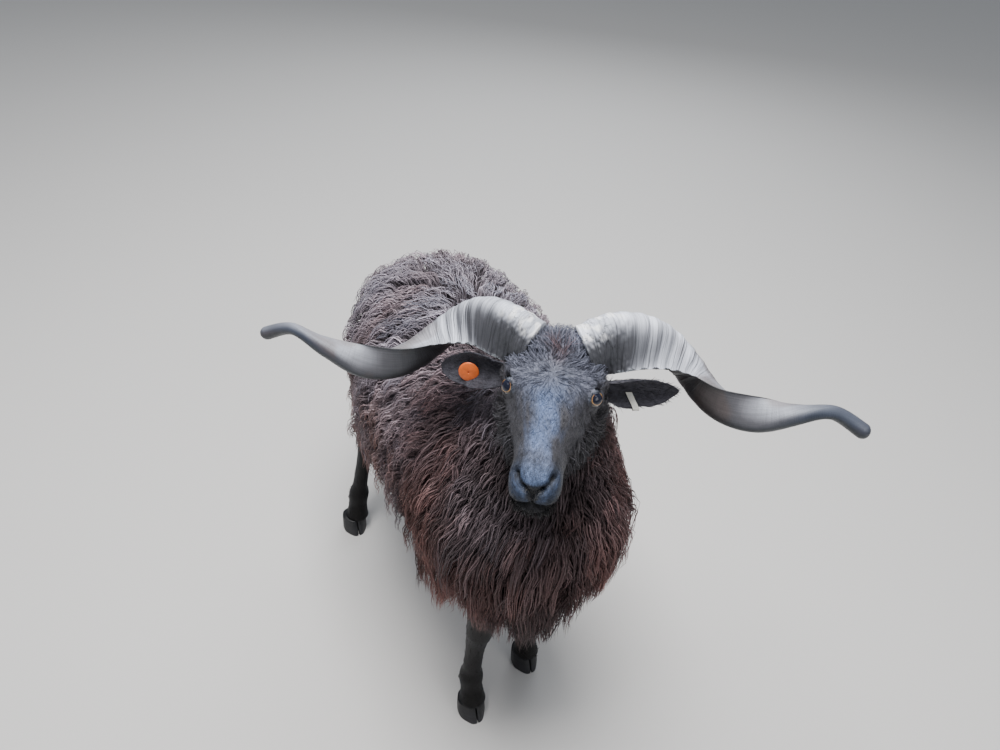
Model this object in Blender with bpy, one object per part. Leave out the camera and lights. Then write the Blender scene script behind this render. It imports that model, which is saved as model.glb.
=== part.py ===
"""A life-size standing ram with spiral horns and a long wavy fleece, as a still display model.

The ram is built facing -Y, with its left side on +X and its hooves on z = 0. The neck bends to
its right, and the head looks up. All sizes are in metres.
"""

import math
import random

import bmesh
import bpy
import numpy as np
from mathutils import Matrix, Vector
from mathutils.bvhtree import BVHTree


def unit(vector):
    return np.asarray(vector, float) / np.linalg.norm(vector)


# Driving dimensions.
BODY_LENGTH = 0.72
CHEST_Y = -0.355
WITHERS = 0.685
BARREL_HALF = 0.150
GAP = 0.0003
WELD = 0.000002

# The share of the coat's depth that the smooth core fills. The locks reach all of it.
CORE_SHARE = 0.5

# The coat's depth from the skin to the tips of the locks.
BACK_COAT = 0.058
SIDE_COAT = 0.057
BELLY_COAT = 0.070
CHEST_COAT = 0.074
NECK_COAT = 0.074

# Barrel: share of the body length, top and bottom as shares of the withers, half width as a share.
BARREL = [
    (0.00, 0.80, 0.70, 0.15),
    (0.03, 0.88, 0.62, 0.50),
    (0.12, 0.97, 0.52, 0.80),
    (0.22, 1.00, 0.475, 0.90),
    (0.40, 0.985, 0.455, 1.00),
    (0.58, 0.985, 0.465, 1.04),
    (0.74, 0.975, 0.51, 0.98),
    (0.86, 0.945, 0.57, 0.87),
    (0.96, 0.89, 0.66, 0.56),
    (1.00, 0.84, 0.74, 0.20),
]
BARREL_SQUARE = 2.15
CHEST_SHIFT = 0.014
RUMP_SHIFT = 0.038

# The point midway between the eyes, and how the head is turned.
EYES_MID = np.array((-0.0254, -0.3104, 0.8218))
HEAD_TURN = math.radians(36.0)
HEAD_TILT = math.radians(-2.0)
HEAD_LEAN = math.radians(-2.0)

# Head: distance back from the nose, then top, widest height, bottom, half width and squareness.
EYE_BACK = 0.165
HEAD = [
    (-0.0015, -0.0315, -0.0335, -0.0355, 0.0012, 2.0, 2.0),
    (0.000, -0.022, -0.033, -0.045, 0.009, 2.0, 2.0),
    (0.003, -0.011, -0.034, -0.054, 0.021, 2.1, 2.1),
    (0.011, -0.002, -0.035, -0.062, 0.030, 2.3, 2.2),
    (0.028, 0.005, -0.035, -0.067, 0.0340, 2.4, 2.2),
    (0.052, 0.011, -0.034, -0.068, 0.0335, 2.5, 2.1),
    (0.078, 0.017, -0.032, -0.074, 0.0365, 2.6, 2.0),
    (0.105, 0.022, -0.030, -0.083, 0.0435, 2.6, 2.0),
    (0.130, 0.027, -0.026, -0.094, 0.0515, 2.6, 2.0),
    (0.155, 0.031, -0.020, -0.107, 0.0590, 2.5, 2.0),
    (0.180, 0.035, -0.018, -0.118, 0.0620, 2.4, 2.0),
    (0.205, 0.038, -0.018, -0.122, 0.0605, 2.3, 2.0),
    (0.230, 0.036, -0.020, -0.115, 0.0560, 2.2, 2.0),
    (0.252, 0.026, -0.024, -0.098, 0.0470, 2.1, 2.0),
    (0.270, 0.006, -0.028, -0.072, 0.0310, 2.0, 2.0),
    (0.278, -0.014, -0.030, -0.048, 0.0120, 2.0, 2.0),
]

# Swellings and hollows of the face: side, distance back, height, reach and depth.
HEAD_FORMS = [
    ("brow", 0.056, 0.146, 0.020, 0.012, 0.0050),
    ("orbit behind the eye", 0.064, 0.188, 0.006, 0.013, 0.0085),
    ("orbit under the eye", 0.058, 0.158, -0.020, 0.011, 0.0030),
    ("tear hollow", 0.046, 0.126, -0.004, 0.011, -0.0045),
    ("facial crest", 0.046, 0.118, -0.042, 0.018, 0.0040),
    ("cheek", 0.048, 0.192, -0.072, 0.030, 0.0060),
    ("side of the nose", 0.031, 0.070, -0.008, 0.016, -0.0025),
    ("nostril wing", 0.026, 0.020, -0.010, 0.010, 0.0020),
    ("upper lip", 0.015, 0.004, -0.034, 0.009, 0.0042),
    ("lower lip", 0.009, 0.004, -0.056, 0.009, 0.0042),
    ("nose bridge", 0.000, 0.095, 0.022, 0.030, 0.0030),
    ("nose tip hollow", 0.000, 0.016, -0.004, 0.009, -0.0026),
    ("forehead", 0.000, 0.175, 0.036, 0.026, 0.0040),
    ("poll", 0.000, 0.212, 0.042, 0.026, 0.0180),
    ("ear base", 0.064, 0.205, -0.008, 0.016, 0.0110),
]

# Grooves of the face: their points as side, distance back and height, half width and depth.
HEAD_GROOVES = [
    ("nostril", [(0.0235, 0.018, -0.008), (0.0195, 0.011, -0.0125), (0.012, 0.004, -0.018)],
     0.0030, 0.0085),
    ("nostril slit", [(0.012, 0.004, -0.018), (0.0030, 0.001, -0.023)], 0.0024, 0.0045),
    ("lip cleft", [(0.0, 0.000, -0.023), (0.0, -0.0015, -0.033), (0.0, 0.0, -0.042)], 0.0017, 0.0040),
    ("mouth", [(0.0, -0.0004, -0.0425), (0.008, 0.0003, -0.0425), (0.013, 0.0018, -0.0430),
               (0.019, 0.0045, -0.0445), (0.025, 0.0090, -0.0465), (0.0305, 0.020, -0.048),
               (0.0325, 0.036, -0.0475), (0.033, 0.056, -0.045)], 0.0024, 0.0070),
]

# Eyes: centre in the head's frame, size, and the shape of the opening between the lids.
EYE_CENTRE = np.array((0.0545, 0.0, 0.001))
EYE_RADIUS = 0.0158
EYE_LOOK = unit((0.72, -0.62, 0.30))
EYE_SLANT = 0.65
LID_HALF_LONG = 0.80
LID_HALF_UP = 0.57
LID_HALF_DOWN = 0.52
LID_THICK = 0.0022
LID_REACH = 1.45

# Each side's horn: share of its length, distance to the side, axis up and away, spiral radius
# and turn in degrees, the keel's turn in degrees, and half width and thickness of its section.
HORN_UP = np.array((0.0, 0.628, 0.778))
HORN_AWAY = np.array((0.0, 0.778, -0.628))
HORNS = {
    1: [
        (0.00, 0.0355, 0.0470, 0.0592, 0.0416, -70.1, 166.5, 0.0387, 0.0266),
        (0.12, 0.0796, 0.0457, 0.0581, 0.0414, -31.8, 194.7, 0.0428, 0.0284),
        (0.28, 0.1293, 0.0435, 0.0568, 0.0412, 10.0, 221.4, 0.0407, 0.0275),
        (0.45, 0.1826, 0.0407, 0.0532, 0.0410, 61.2, 256.7, 0.0372, 0.0246),
        (0.60, 0.2301, 0.0358, 0.0500, 0.0314, 116.3, 291.0, 0.0339, 0.0233),
        (0.72, 0.2815, 0.0306, 0.0469, 0.0227, 160.6, 335.3, 0.0267, 0.0187),
        (0.84, 0.3282, 0.0284, 0.0438, 0.0138, 215.3, 397.0, 0.0167, 0.0131),
        (0.94, 0.3732, 0.0241, 0.0410, 0.0062, 290.5, 463.2, 0.0122, 0.0103),
        (1.00, 0.4292, 0.0125, 0.0405, -0.0099, 366.9, 517.4, 0.0120, 0.0112),
    ],
    -1: [
        (0.00, 0.0359, 0.0447, 0.0572, 0.0399, -66.8, 166.7, 0.0368, 0.0261),
        (0.12, 0.0790, 0.0439, 0.0561, 0.0392, -36.4, 189.6, 0.0403, 0.0277),
        (0.28, 0.1242, 0.0423, 0.0547, 0.0411, 11.8, 212.1, 0.0377, 0.0268),
        (0.45, 0.1805, 0.0400, 0.0511, 0.0410, 69.0, 245.8, 0.0352, 0.0242),
        (0.60, 0.2308, 0.0356, 0.0478, 0.0329, 124.5, 284.7, 0.0326, 0.0246),
        (0.72, 0.2816, 0.0309, 0.0447, 0.0264, 169.6, 329.3, 0.0256, 0.0203),
        (0.84, 0.3293, 0.0291, 0.0416, 0.0185, 228.1, 389.2, 0.0162, 0.0136),
        (0.94, 0.3781, 0.0251, 0.0387, 0.0163, 305.7, 454.2, 0.0114, 0.0091),
        (1.00, 0.4385, 0.0137, 0.0382, 0.0071, 389.5, 505.7, 0.0114, 0.0090),
    ],
}
HORN_ROUND = 0.990
HORN_RIDGE = 0.0012
HEAD_FACES = 1800
HORN_STATIONS = 36
HORN_ROUND_STATIONS = 3
HORN_SIDES = 14

# Ear: its root and direction in the head's frame, then half width and half angle of the cup.
EAR_ROOT = np.array((0.056, 0.040, -0.012))
EAR_AXIS = {1: unit((0.965, 0.235, -0.020)), -1: unit((0.950, 0.235, -0.150))}
EAR_OPENING = {1: (0.25, -0.92, 0.02), -1: (-0.20, -0.84, 0.42)}
EAR_LENGTH = 0.122
EAR_THICK = 0.0042
EAR = [
    (0.00, 0.0130, 88.0),
    (0.20, 0.0190, 84.0),
    (0.40, 0.0250, 68.0),
    (0.55, 0.0262, 56.0),
    (0.75, 0.0215, 46.0),
    (0.90, 0.0125, 38.0),
    (1.00, 0.0025, 30.0),
]

# Neck: share of its length, half width, reach to the throat and reach to the nape.
NECK_BASE = np.array((0.010, -0.190, 0.500))
NECK_BEND = np.array((0.012, -0.265, 0.660))
NECK_TOP = np.array((0.012, -0.262, 0.792))
NECK = [
    (0.00, 0.110, 0.130, 0.130),
    (0.25, 0.104, 0.118, 0.110),
    (0.50, 0.090, 0.098, 0.086),
    (0.75, 0.070, 0.078, 0.066),
    (0.92, 0.050, 0.062, 0.050),
    (1.00, 0.030, 0.040, 0.030),
]

# The planes where the neck and the tail are cut from the torso: a point and the way out.
NECK_PLANE = (np.array((0.010, -0.250, 0.640)), unit((0.02, -0.62, 0.78)))
TAIL_PLANE = (np.array((0.030, 0.4205, 0.560)), unit((0.0, 1.0, 0.0)))
PLANE_BOX = 1.2

# Ear tags. The round one is pinned through the right ear, the strip clips over the left ear's edge.
DISC_SHARE = 0.58
DISC_SWEEP = 0.14
DISC_RADIUS = 0.0145
DISC_THICK = 0.0028
DISC_HOLE = 0.0022
DISC_LIFT = 0.0075
PIN_RADIUS = 0.0030
BACK_RADIUS = 0.0120
BACK_LIFT = 0.0062
STRIP_SHARE = 0.375
STRIP_LEAN = 0.115
STRIP_TOP = 0.20
STRIP_WIDTH = 0.0080
STRIP_THICK = 0.0009
STRIP_CLEAR = 0.0009

# Legs: height, step back from the leg's line, half width and half depth.
FRONT_LEG = [
    (0.430, 0.020, 0.036, 0.055),
    (0.360, 0.012, 0.035, 0.048),
    (0.300, 0.004, 0.029, 0.036),
    (0.255, 0.000, 0.0245, 0.0285),
    (0.225, 0.000, 0.0240, 0.0265),
    (0.195, 0.004, 0.0200, 0.0225),
    (0.150, 0.006, 0.0172, 0.0185),
    (0.110, 0.006, 0.0175, 0.0190),
    (0.085, 0.005, 0.0230, 0.0240),
    (0.062, -0.001, 0.0212, 0.0215),
    (0.049, -0.007, 0.0225, 0.0235),
    (0.0363, -0.011, 0.0262, 0.0262),
]
HIND_LEG = [
    (0.450, -0.030, 0.044, 0.075),
    (0.385, -0.048, 0.042, 0.072),
    (0.335, -0.022, 0.035, 0.052),
    (0.290, 0.010, 0.0260, 0.036),
    (0.255, 0.032, 0.0225, 0.0320),
    (0.230, 0.032, 0.0210, 0.0270),
    (0.200, 0.025, 0.0175, 0.0210),
    (0.150, 0.018, 0.0155, 0.0185),
    (0.110, 0.011, 0.0165, 0.0192),
    (0.085, 0.006, 0.0230, 0.0240),
    (0.062, 0.000, 0.0212, 0.0215),
    (0.049, -0.006, 0.0225, 0.0235),
    (0.0363, -0.010, 0.0262, 0.0262),
]
# Each leg's name, its table, and the place of its foot and of its top.
LEGS = {
    "front_left": (FRONT_LEG, np.array((0.058, -0.215)), np.array((0.072, -0.225))),
    "front_right": (FRONT_LEG, np.array((-0.088, -0.270)), np.array((-0.058, -0.250))),
    "hind_left": (HIND_LEG, np.array((0.125, 0.292)), np.array((0.100, 0.280))),
    "hind_right": (HIND_LEG, np.array((-0.155, 0.265)), np.array((-0.050, 0.275))),
}
HOOF_TOP = 0.036
# Claw: height, toe, heel and outer width, from the leg's line.
CLAW = [
    (0.000, -0.047, 0.012, 0.0262),
    (0.005, -0.046, 0.013, 0.0272),
    (0.016, -0.042, 0.014, 0.0270),
    (0.027, -0.037, 0.015, 0.0264),
    (0.036, -0.033, 0.015, 0.0256),
]
CLEFT_HALF = 0.0016

# Tail: share of its length, half width and half depth, from its root down.
TAIL_POINTS = [np.array((0.030, 0.300, 0.590)), np.array((0.032, 0.435, 0.575)),
               np.array((0.034, 0.462, 0.450)), np.array((0.036, 0.445, 0.310))]
TAIL = [
    (0.00, 0.024, 0.020),
    (0.30, 0.026, 0.020),
    (0.60, 0.022, 0.017),
    (0.90, 0.014, 0.012),
    (1.00, 0.005, 0.005),
]
TAIL_COAT = 0.020

# Locks of the fleece: how far apart their roots are, and their sizes on the back, chest and tail.
SEED = 7
LOCK_SPACING = 0.080
LOCK_SINK = 0.016
LOCK_SIZES = {
    # length, width, thickness, sideways wave and sag
    "back": (0.125, 0.078, 0.026, 0.012, 0.00),
    "flank": (0.145, 0.084, 0.028, 0.014, 0.05),
    "belly": (0.120, 0.074, 0.028, 0.010, 0.30),
    "chest": (0.205, 0.080, 0.034, 0.016, 0.26),
    "neck": (0.150, 0.072, 0.030, 0.014, 0.10),
    "tail": (0.110, 0.046, 0.020, 0.008, 0.00),
}
# Along a lock from its root to its tip: share of its length, width, thickness and rise.
LOCK_FORM = [
    (0.00, 0.55, 0.85, 0.0),
    (0.30, 1.00, 1.00, 0.75),
    (0.62, 0.86, 0.82, 1.0),
    (0.86, 0.46, 0.60, 0.95),
]
LOCK_TIP = (1.00, 0.72)

COLOURS = {
    "fleece": (0.055, 0.030, 0.022, 1.0),
    "face": (0.018, 0.018, 0.021, 1.0),
    "horn": (0.32, 0.31, 0.30, 1.0),
    "eye": (0.30, 0.12, 0.03, 1.0),
    "hoof": (0.10, 0.08, 0.06, 1.0),
    "tag_orange": (0.85, 0.22, 0.04, 1.0),
    "tag_white": (0.75, 0.75, 0.70, 1.0),
}
ROUGHNESS = {"horn": 0.55, "eye": 0.10, "tag_orange": 0.4, "tag_white": 0.35}


def clear_scene():
    for obj in list(bpy.data.objects):
        bpy.data.objects.remove(obj, do_unlink=True)


def collection(name):
    made = bpy.data.collections.new(name)
    bpy.context.scene.collection.children.link(made)
    return made


def material(name):
    found = bpy.data.materials.get(name)
    if found:
        return found
    made = bpy.data.materials.new(name)
    made.use_nodes = True
    shader = made.node_tree.nodes["Principled BSDF"]
    shader.inputs["Base Color"].default_value = COLOURS[name]
    shader.inputs["Roughness"].default_value = ROUGHNESS.get(name, 0.8)
    return made


def smooth_table(table, at):
    """The rows of a table read at given stations, along a curve that never overshoots its rows."""
    rows = np.array(table, float)
    at = np.atleast_1d(np.asarray(at, float))
    x, y = rows[:, 0], rows[:, 1:]
    step = np.diff(x)[:, None]
    rise = np.diff(y, axis=0) / step
    slope = np.vstack([rise[:1], np.zeros_like(y[1:-1]), rise[-1:]])
    same_way = rise[1:] * rise[:-1] > 0
    total = np.where(same_way, rise[1:] + rise[:-1], 1.0)
    slope[1:-1] = np.where(same_way, 2 * rise[1:] * rise[:-1] / total, 0.0)
    i = np.clip(np.searchsorted(x, at) - 1, 0, len(x) - 2)
    h = step[i]
    t = (at - x[i])[:, None] / h
    return (
        (2 * t**3 - 3 * t**2 + 1) * y[i]
        + (t**3 - 2 * t**2 + t) * h * slope[i]
        + (3 * t**2 - 2 * t**3) * y[i + 1]
        + (t**3 - t**2) * h * slope[i + 1]
    )


def smooth_step(x):
    x = np.clip(x, 0.0, 1.0)
    return x * x * (3 - 2 * x)


def power(x, exponent):
    return np.sign(x) * np.abs(x) ** exponent


def path_through(points, shares):
    """Points of a quadratic or cubic Bezier curve at shares of its length parameter."""
    made = np.zeros((len(shares), 3))
    degree = len(points) - 1
    for i, point in enumerate(points):
        weight = math.comb(degree, i) * shares**i * (1 - shares) ** (degree - i)
        made += weight[:, None] * np.array(point)
    return made


def mesh_object(name, points, faces, slot, home):
    mesh = bpy.data.meshes.new(name)
    mesh.from_pydata([tuple(p) for p in points], [], [tuple(f) for f in faces])
    made = bmesh.new()
    made.from_mesh(mesh)
    bmesh.ops.triangulate(made, faces=made.faces)
    bmesh.ops.recalc_face_normals(made, faces=made.faces)
    made.to_mesh(mesh)
    made.free()
    mesh.materials.append(material(slot))
    obj = bpy.data.objects.new(name, mesh)
    home.objects.link(obj)
    return obj


def loft(name, rings, slot, home):
    """A closed body through rings of points, with a fan of triangles at each end."""
    rings = np.asarray(rings, float)
    count, sides = rings.shape[:2]
    points = np.vstack([rings.reshape(-1, 3), rings[0].mean(0), rings[-1].mean(0)])
    faces = []
    for i in range(count - 1):
        for k in range(sides):
            after = (k + 1) % sides
            faces.append((i * sides + k, i * sides + after,
                          (i + 1) * sides + after, (i + 1) * sides + k))
    last = (count - 1) * sides
    for k in range(sides):
        after = (k + 1) % sides
        faces.append((count * sides, after, k))
        faces.append((count * sides + 1, last + k, last + after))
    return mesh_object(name, points, faces, slot, home)


def bake(obj):
    """Turns an object's modifiers into its mesh."""
    bpy.context.view_layer.update()
    graph = bpy.context.evaluated_depsgraph_get()
    mesh = bpy.data.meshes.new_from_object(obj.evaluated_get(graph))
    obj.modifiers.clear()
    obj.data = mesh
    return obj


def combine(obj, others, operation, solver="MANIFOLD"):
    """A Boolean of an object with a collection of closed bodies, applied. The others are removed."""
    tools = collection("tools")
    for other in others:
        for home in list(other.users_collection):
            home.objects.unlink(other)
        tools.objects.link(other)
    modifier = obj.modifiers.new(operation, "BOOLEAN")
    modifier.operation = operation
    modifier.operand_type = "COLLECTION"
    modifier.collection = tools
    modifier.solver = solver
    bake(obj)
    for other in list(tools.objects):
        bpy.data.objects.remove(other, do_unlink=True)
    bpy.data.collections.remove(tools)
    return obj


def keep_largest(obj):
    """Leaves only the closed surface with the largest volume."""
    made = bmesh.new()
    made.from_mesh(obj.data)
    bmesh.ops.remove_doubles(made, verts=made.verts, dist=WELD)
    bmesh.ops.triangulate(made, faces=made.faces)
    by_corners = {}
    for face in made.faces:
        by_corners.setdefault(frozenset(v.index for v in face.verts), []).append(face)
    flaps = [face for group in by_corners.values() if len(group) > 1 for face in group]
    bmesh.ops.delete(made, geom=flaps, context="FACES")
    made.faces.ensure_lookup_table()
    made.faces.index_update()
    seen, shells = set(), []
    for start in made.faces:
        if start.index in seen:
            continue
        shell, queue = [], [start]
        seen.add(start.index)
        while queue:
            face = queue.pop()
            shell.append(face)
            for edge in face.edges:
                for other in edge.link_faces:
                    if other.index not in seen:
                        seen.add(other.index)
                        queue.append(other)
        shells.append(shell)

    def volume(shell):
        return abs(sum(f.verts[0].co.dot(f.verts[i].co.cross(f.verts[i + 1].co))
                       for f in shell for i in range(1, len(f.verts) - 1)))

    shells.sort(key=volume)
    for shell in shells[:-1]:
        bmesh.ops.delete(made, geom=shell, context="FACES")
    loose = [v for v in made.verts if not v.link_faces]
    bmesh.ops.delete(made, geom=loose, context="VERTS")
    made.to_mesh(obj.data)
    made.free()
    return obj


def turned(axis, angle):
    """The matrix of a turn by an angle about the x, y or z axis."""
    one, two = [i for i in range(3) if i != axis]
    made = np.eye(3)
    made[one, one] = made[two, two] = math.cos(angle)
    made[one, two] = -math.sin(angle) if axis != 1 else math.sin(angle)
    made[two, one] = -made[one, two]
    return made


def in_world(points):
    """Points of the head's frame: x to the ram's left, y back along the head, z up from its face."""
    frame = turned(2, -HEAD_TURN) @ turned(0, -HEAD_TILT) @ turned(1, HEAD_LEAN)
    return np.asarray(points) @ frame.T + EYES_MID


def grid_normals(grid):
    """Outward normals of a grid whose first axis runs along a body and second axis round it."""
    along = np.gradient(grid, axis=0)
    around = np.roll(grid, -1, axis=1) - np.roll(grid, 1, axis=1)
    normal = np.cross(along, around)
    return normal / np.maximum(np.linalg.norm(normal, axis=2, keepdims=True), 1e-12)


def distance_to_line(points, line):
    """The shortest distance from each point to a line through several points."""
    best = np.full(points.shape[:-1], 1e9)
    for a, b in zip(line[:-1], line[1:]):
        a, b = np.array(a), np.array(b)
        share = np.clip((points - a) @ (b - a) / ((b - a) @ (b - a)), 0, 1)
        best = np.minimum(best, np.linalg.norm(points - a - share[..., None] * (b - a), axis=-1))
    return best


def on_both_sides(line):
    mirror = [(-x, s, z) for x, s, z in line]
    return [line] if all(x == 0 for x, _, _ in line) else [line, mirror]


def eye_axes(side):
    """The eye's centre, its look, its long axis and its height axis, in the head's frame."""
    flip = np.array((side, 1, 1))
    centre, look = np.array(EYE_CENTRE) * flip, np.array(EYE_LOOK) * flip
    up = np.array((0.0, -EYE_SLANT, 1.0))
    up -= look * (up @ look)
    up /= np.linalg.norm(up)
    return centre, look, np.cross(up, look), up


def shape_lids(grid, side):
    """Draws the surface round an eye over the eyeball, with an almond opening between two lids."""
    centre, look, long, up = eye_axes(side)
    away = grid - centre
    reach = np.linalg.norm(away, axis=-1, keepdims=True)
    way = away / reach
    front = np.clip(way @ look, -1, 1)
    along = np.arctan2(way @ long, np.maximum(front, 1e-6))
    high = np.arctan2(way @ up, np.maximum(front, 1e-6))
    span = np.clip(1 - (along / LID_HALF_LONG) ** 2, 0, None)
    edge = np.where(high > 0, LID_HALF_UP * span**0.7, LID_HALF_DOWN * span**0.9)
    past = np.where(np.abs(along) < LID_HALF_LONG, np.abs(high) - edge,
                    np.hypot(np.abs(along) - LID_HALF_LONG, high))
    rim = smooth_step((past + 0.05) / 0.10)
    crease = 0.0016 * np.exp(-(((past - 0.36) / 0.09) ** 2))
    wanted = EYE_RADIUS - 0.0030 + (0.0030 + LID_THICK) * rim - crease
    angle = np.arccos(front)
    share = smooth_step((LID_REACH - angle) / 0.55)
    share *= (reach[..., 0] < 3 * EYE_RADIUS)
    return grid + (centre + way * wanted[..., None] - grid) * share[..., None]


def head_grid(stations, sides):
    """The head's surface in its own frame, as rings from the nose to the nape."""
    nose, nape = HEAD[0][0], HEAD[-1][0]
    backs = nose + (nape - nose) * np.linspace(0, 1, stations) ** 1.45
    rows = smooth_table(HEAD, backs)
    top, wide, bottom, half, square_top, square_bottom = rows.T[:, :, None]
    turn = 2 * np.pi * (np.arange(sides) + 0.5) / sides
    cos, sin = np.cos(turn)[None, :], np.sin(turn)[None, :]
    square = np.where(sin > 0, square_top, square_bottom)
    x = half * power(cos, 2 / square)
    z = wide + np.where(sin > 0, top - wide, wide - bottom) * power(sin, 2 / square)
    y = np.broadcast_to(backs[:, None], x.shape)
    grid = np.stack([x, y, z], axis=-1)
    normal = grid_normals(grid)
    push = np.zeros(x.shape)
    for _, side, back, height, reach, depth in HEAD_FORMS:
        for sign in ((1, -1) if side else (1,)):
            gap = np.linalg.norm(grid - np.array((sign * side, back, height)), axis=-1)
            push += depth * np.exp(-((gap / reach) ** 2) / 2)
    for _, line, half_width, depth in HEAD_GROOVES:
        gap = np.min([distance_to_line(grid, part) for part in on_both_sides(line)], axis=0)
        push -= depth * np.exp(-((gap / half_width) ** 2) / 2)
    grid = grid + normal * push[..., None]
    grid[..., 1] -= EYE_BACK
    for side in (1, -1):
        grid = shape_lids(grid, side)
    return grid


def horn_shares(stations, rounds):
    """Shares of a horn's length: even along it, then close together round its blunt end."""
    turn = np.radians(np.linspace(0, 82, rounds + 1)[1:])
    end = HORN_ROUND + (1 - HORN_ROUND) * np.sin(turn)
    return np.append(np.linspace(0, HORN_ROUND, stations - rounds), end)


def horn_section(shares, half, thick, around):
    """A horn's section as offsets to its keel and to its faces.

    The keel is sharp along the middle of the horn, and the section is nearly round at its end.
    """
    sharp = (smooth_step(shares / 0.10) * smooth_step((0.86 - shares) / 0.16))[:, None]
    past = np.clip((shares - HORN_ROUND) / (1 - HORN_ROUND), 0, 1)
    dome = np.sqrt(1 - past**2)[:, None]
    cos, sin = np.cos(around)[None, :], np.sin(around)[None, :]
    drop = np.sin(around / 2)[None, :] ** (0.9 * sharp) * (1 + 0.22 * sharp)
    to_edge = half[:, None] * dome * cos
    to_face = thick[:, None] * dome * sin * drop * (1 - 0.20 * (1 - sharp) * cos)
    return to_edge, to_face


def horn_grid(side, stations, sides, grow=0.0, ridge=HORN_RIDGE):
    """A horn's surface in the head's frame. Its keel winds round it as the horn winds outward."""
    shares = horn_shares(stations, HORN_ROUND_STATIONS)
    rows = smooth_table(HORNS[side], shares)
    out, up, away, radius, turn, keel, half, thick = rows.T
    turn, keel = np.radians(turn), np.radians(keel)
    up_way, away_way = np.array(HORN_UP), np.array(HORN_AWAY)
    centre = np.stack([out, np.zeros_like(out), np.zeros_like(out)], axis=1)
    centre += np.outer(up + radius * np.cos(turn), up_way)
    centre += np.outer(away + radius * np.sin(turn), away_way)
    ahead = np.gradient(centre, axis=0)
    ahead /= np.linalg.norm(ahead, axis=1, keepdims=True)
    edge = np.outer(np.cos(keel), up_way) + np.outer(np.sin(keel), away_way)
    edge -= ahead * np.sum(edge * ahead, axis=1, keepdims=True)
    edge /= np.linalg.norm(edge, axis=1, keepdims=True)
    face = np.cross(ahead, edge)
    raised = ridge * (np.arange(stations) % 2) * smooth_step((1 - shares) / 0.3)
    around = 2 * np.pi * np.arange(sides) / sides
    to_edge, to_face = horn_section(shares, half + raised + grow, thick + raised + grow, around)
    grid = (centre[:, None] + to_edge[..., None] * edge[:, None]
            + to_face[..., None] * face[:, None])
    grid[..., 0] *= side
    return grid


def ear_axes(side):
    """Across and out of an ear's cup, and along it, in the head's frame."""
    flip = np.array((side, 1, 1))
    along = np.array(EAR_AXIS[side]) * flip
    opening = np.array(EAR_OPENING[side])
    opening -= along * (opening @ along)
    opening /= np.linalg.norm(opening)
    across = np.cross(along, opening) * side
    return along, across, opening


def ear_grid(side, stations, sides, grow=0.0):
    """An ear's surface in the head's frame: closed crescent sections round a leaf-shaped cup."""
    shares = np.linspace(0, 1, stations)
    half, angle = smooth_table(EAR, shares).T
    angle = np.radians(angle)
    radius = half / np.sin(angle)
    along, across, opening = ear_axes(side)
    root = np.array(EAR_ROOT) * np.array((side, 1, 1))
    sweep = np.linspace(-1, 1, sides)
    rings = []
    for share, r, a in zip(shares, radius, angle):
        droop = -0.010 * share**2
        centre = root + along * EAR_LENGTH * share + np.array((0.0, 0.0, droop))
        thick = EAR_THICK * (1 - 0.5 * share) * np.sqrt(1 - 0.75 * sweep**2) / 2 + grow
        turn = sweep * (a + grow / r)
        outer = [(r + t) * np.sin(u) for u, t in zip(turn, thick)]
        outer_deep = [r - (r + t) * np.cos(u) for u, t in zip(turn, thick)]
        inner = [(r - t) * np.sin(u) for u, t in zip(turn, thick)]
        inner_deep = [r - (r - t) * np.cos(u) for u, t in zip(turn, thick)]
        back = [centre + across * w + opening * d for w, d in zip(outer, outer_deep)]
        front = [centre + across * w + opening * d for w, d in zip(inner, inner_deep)]
        rings.append(back + front[::-1])
    return np.array(rings)


def ear_spot(side, share, sweep):
    """A point of the ear's cup, with its normals out of the cup and its direction to the tip."""
    half, angle = smooth_table(EAR, [share])[0]
    angle = math.radians(angle)
    radius = half / math.sin(angle)
    along, across, opening = ear_axes(side)
    root = np.array(EAR_ROOT) * np.array((side, 1, 1))
    centre = root + along * EAR_LENGTH * share + np.array((0.0, 0.0, -0.010 * share**2))
    turn = sweep * angle
    point = centre + across * radius * math.sin(turn) + opening * radius * (1 - math.cos(turn))
    normal = opening * math.cos(turn) - across * math.sin(turn)
    return point, normal, along


def barrel_rings(stations, sides, share):
    """The torso's rings, out to a share of the coat's depth."""
    f = 0.5 - 0.5 * np.cos(np.pi * np.linspace(0, 1, stations))
    top, bottom, half = smooth_table(BARREL, f).T
    top, bottom, half = top * WITHERS, bottom * WITHERS, half * BARREL_HALF
    chest = smooth_step((0.30 - f) / 0.30)
    over = BACK_COAT * share
    aside = (SIDE_COAT + (CHEST_COAT - SIDE_COAT) * chest) * share
    under = (BELLY_COAT + (CHEST_COAT - BELLY_COAT) * chest) * share
    ends = 2 * f - 1
    y = CHEST_Y + f * BODY_LENGTH + SIDE_COAT * share * power(ends, 5.0)
    middle = (top + bottom) / 2
    turn = 2 * np.pi * (np.arange(sides) + 0.5) / sides
    cos, sin = np.cos(turn)[None, :], np.sin(turn)[None, :]
    x = (half + aside)[:, None] * power(cos, 2 / BARREL_SQUARE)
    x = x + (CHEST_SHIFT + (RUMP_SHIFT - CHEST_SHIFT) * f)[:, None]
    rise = np.where(sin > 0, (top - middle + over)[:, None], (middle - bottom + under)[:, None])
    z = middle[:, None] + rise * power(sin, 2 / BARREL_SQUARE)
    return np.stack([x, np.broadcast_to(y[:, None], x.shape), z], axis=-1)


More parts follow.
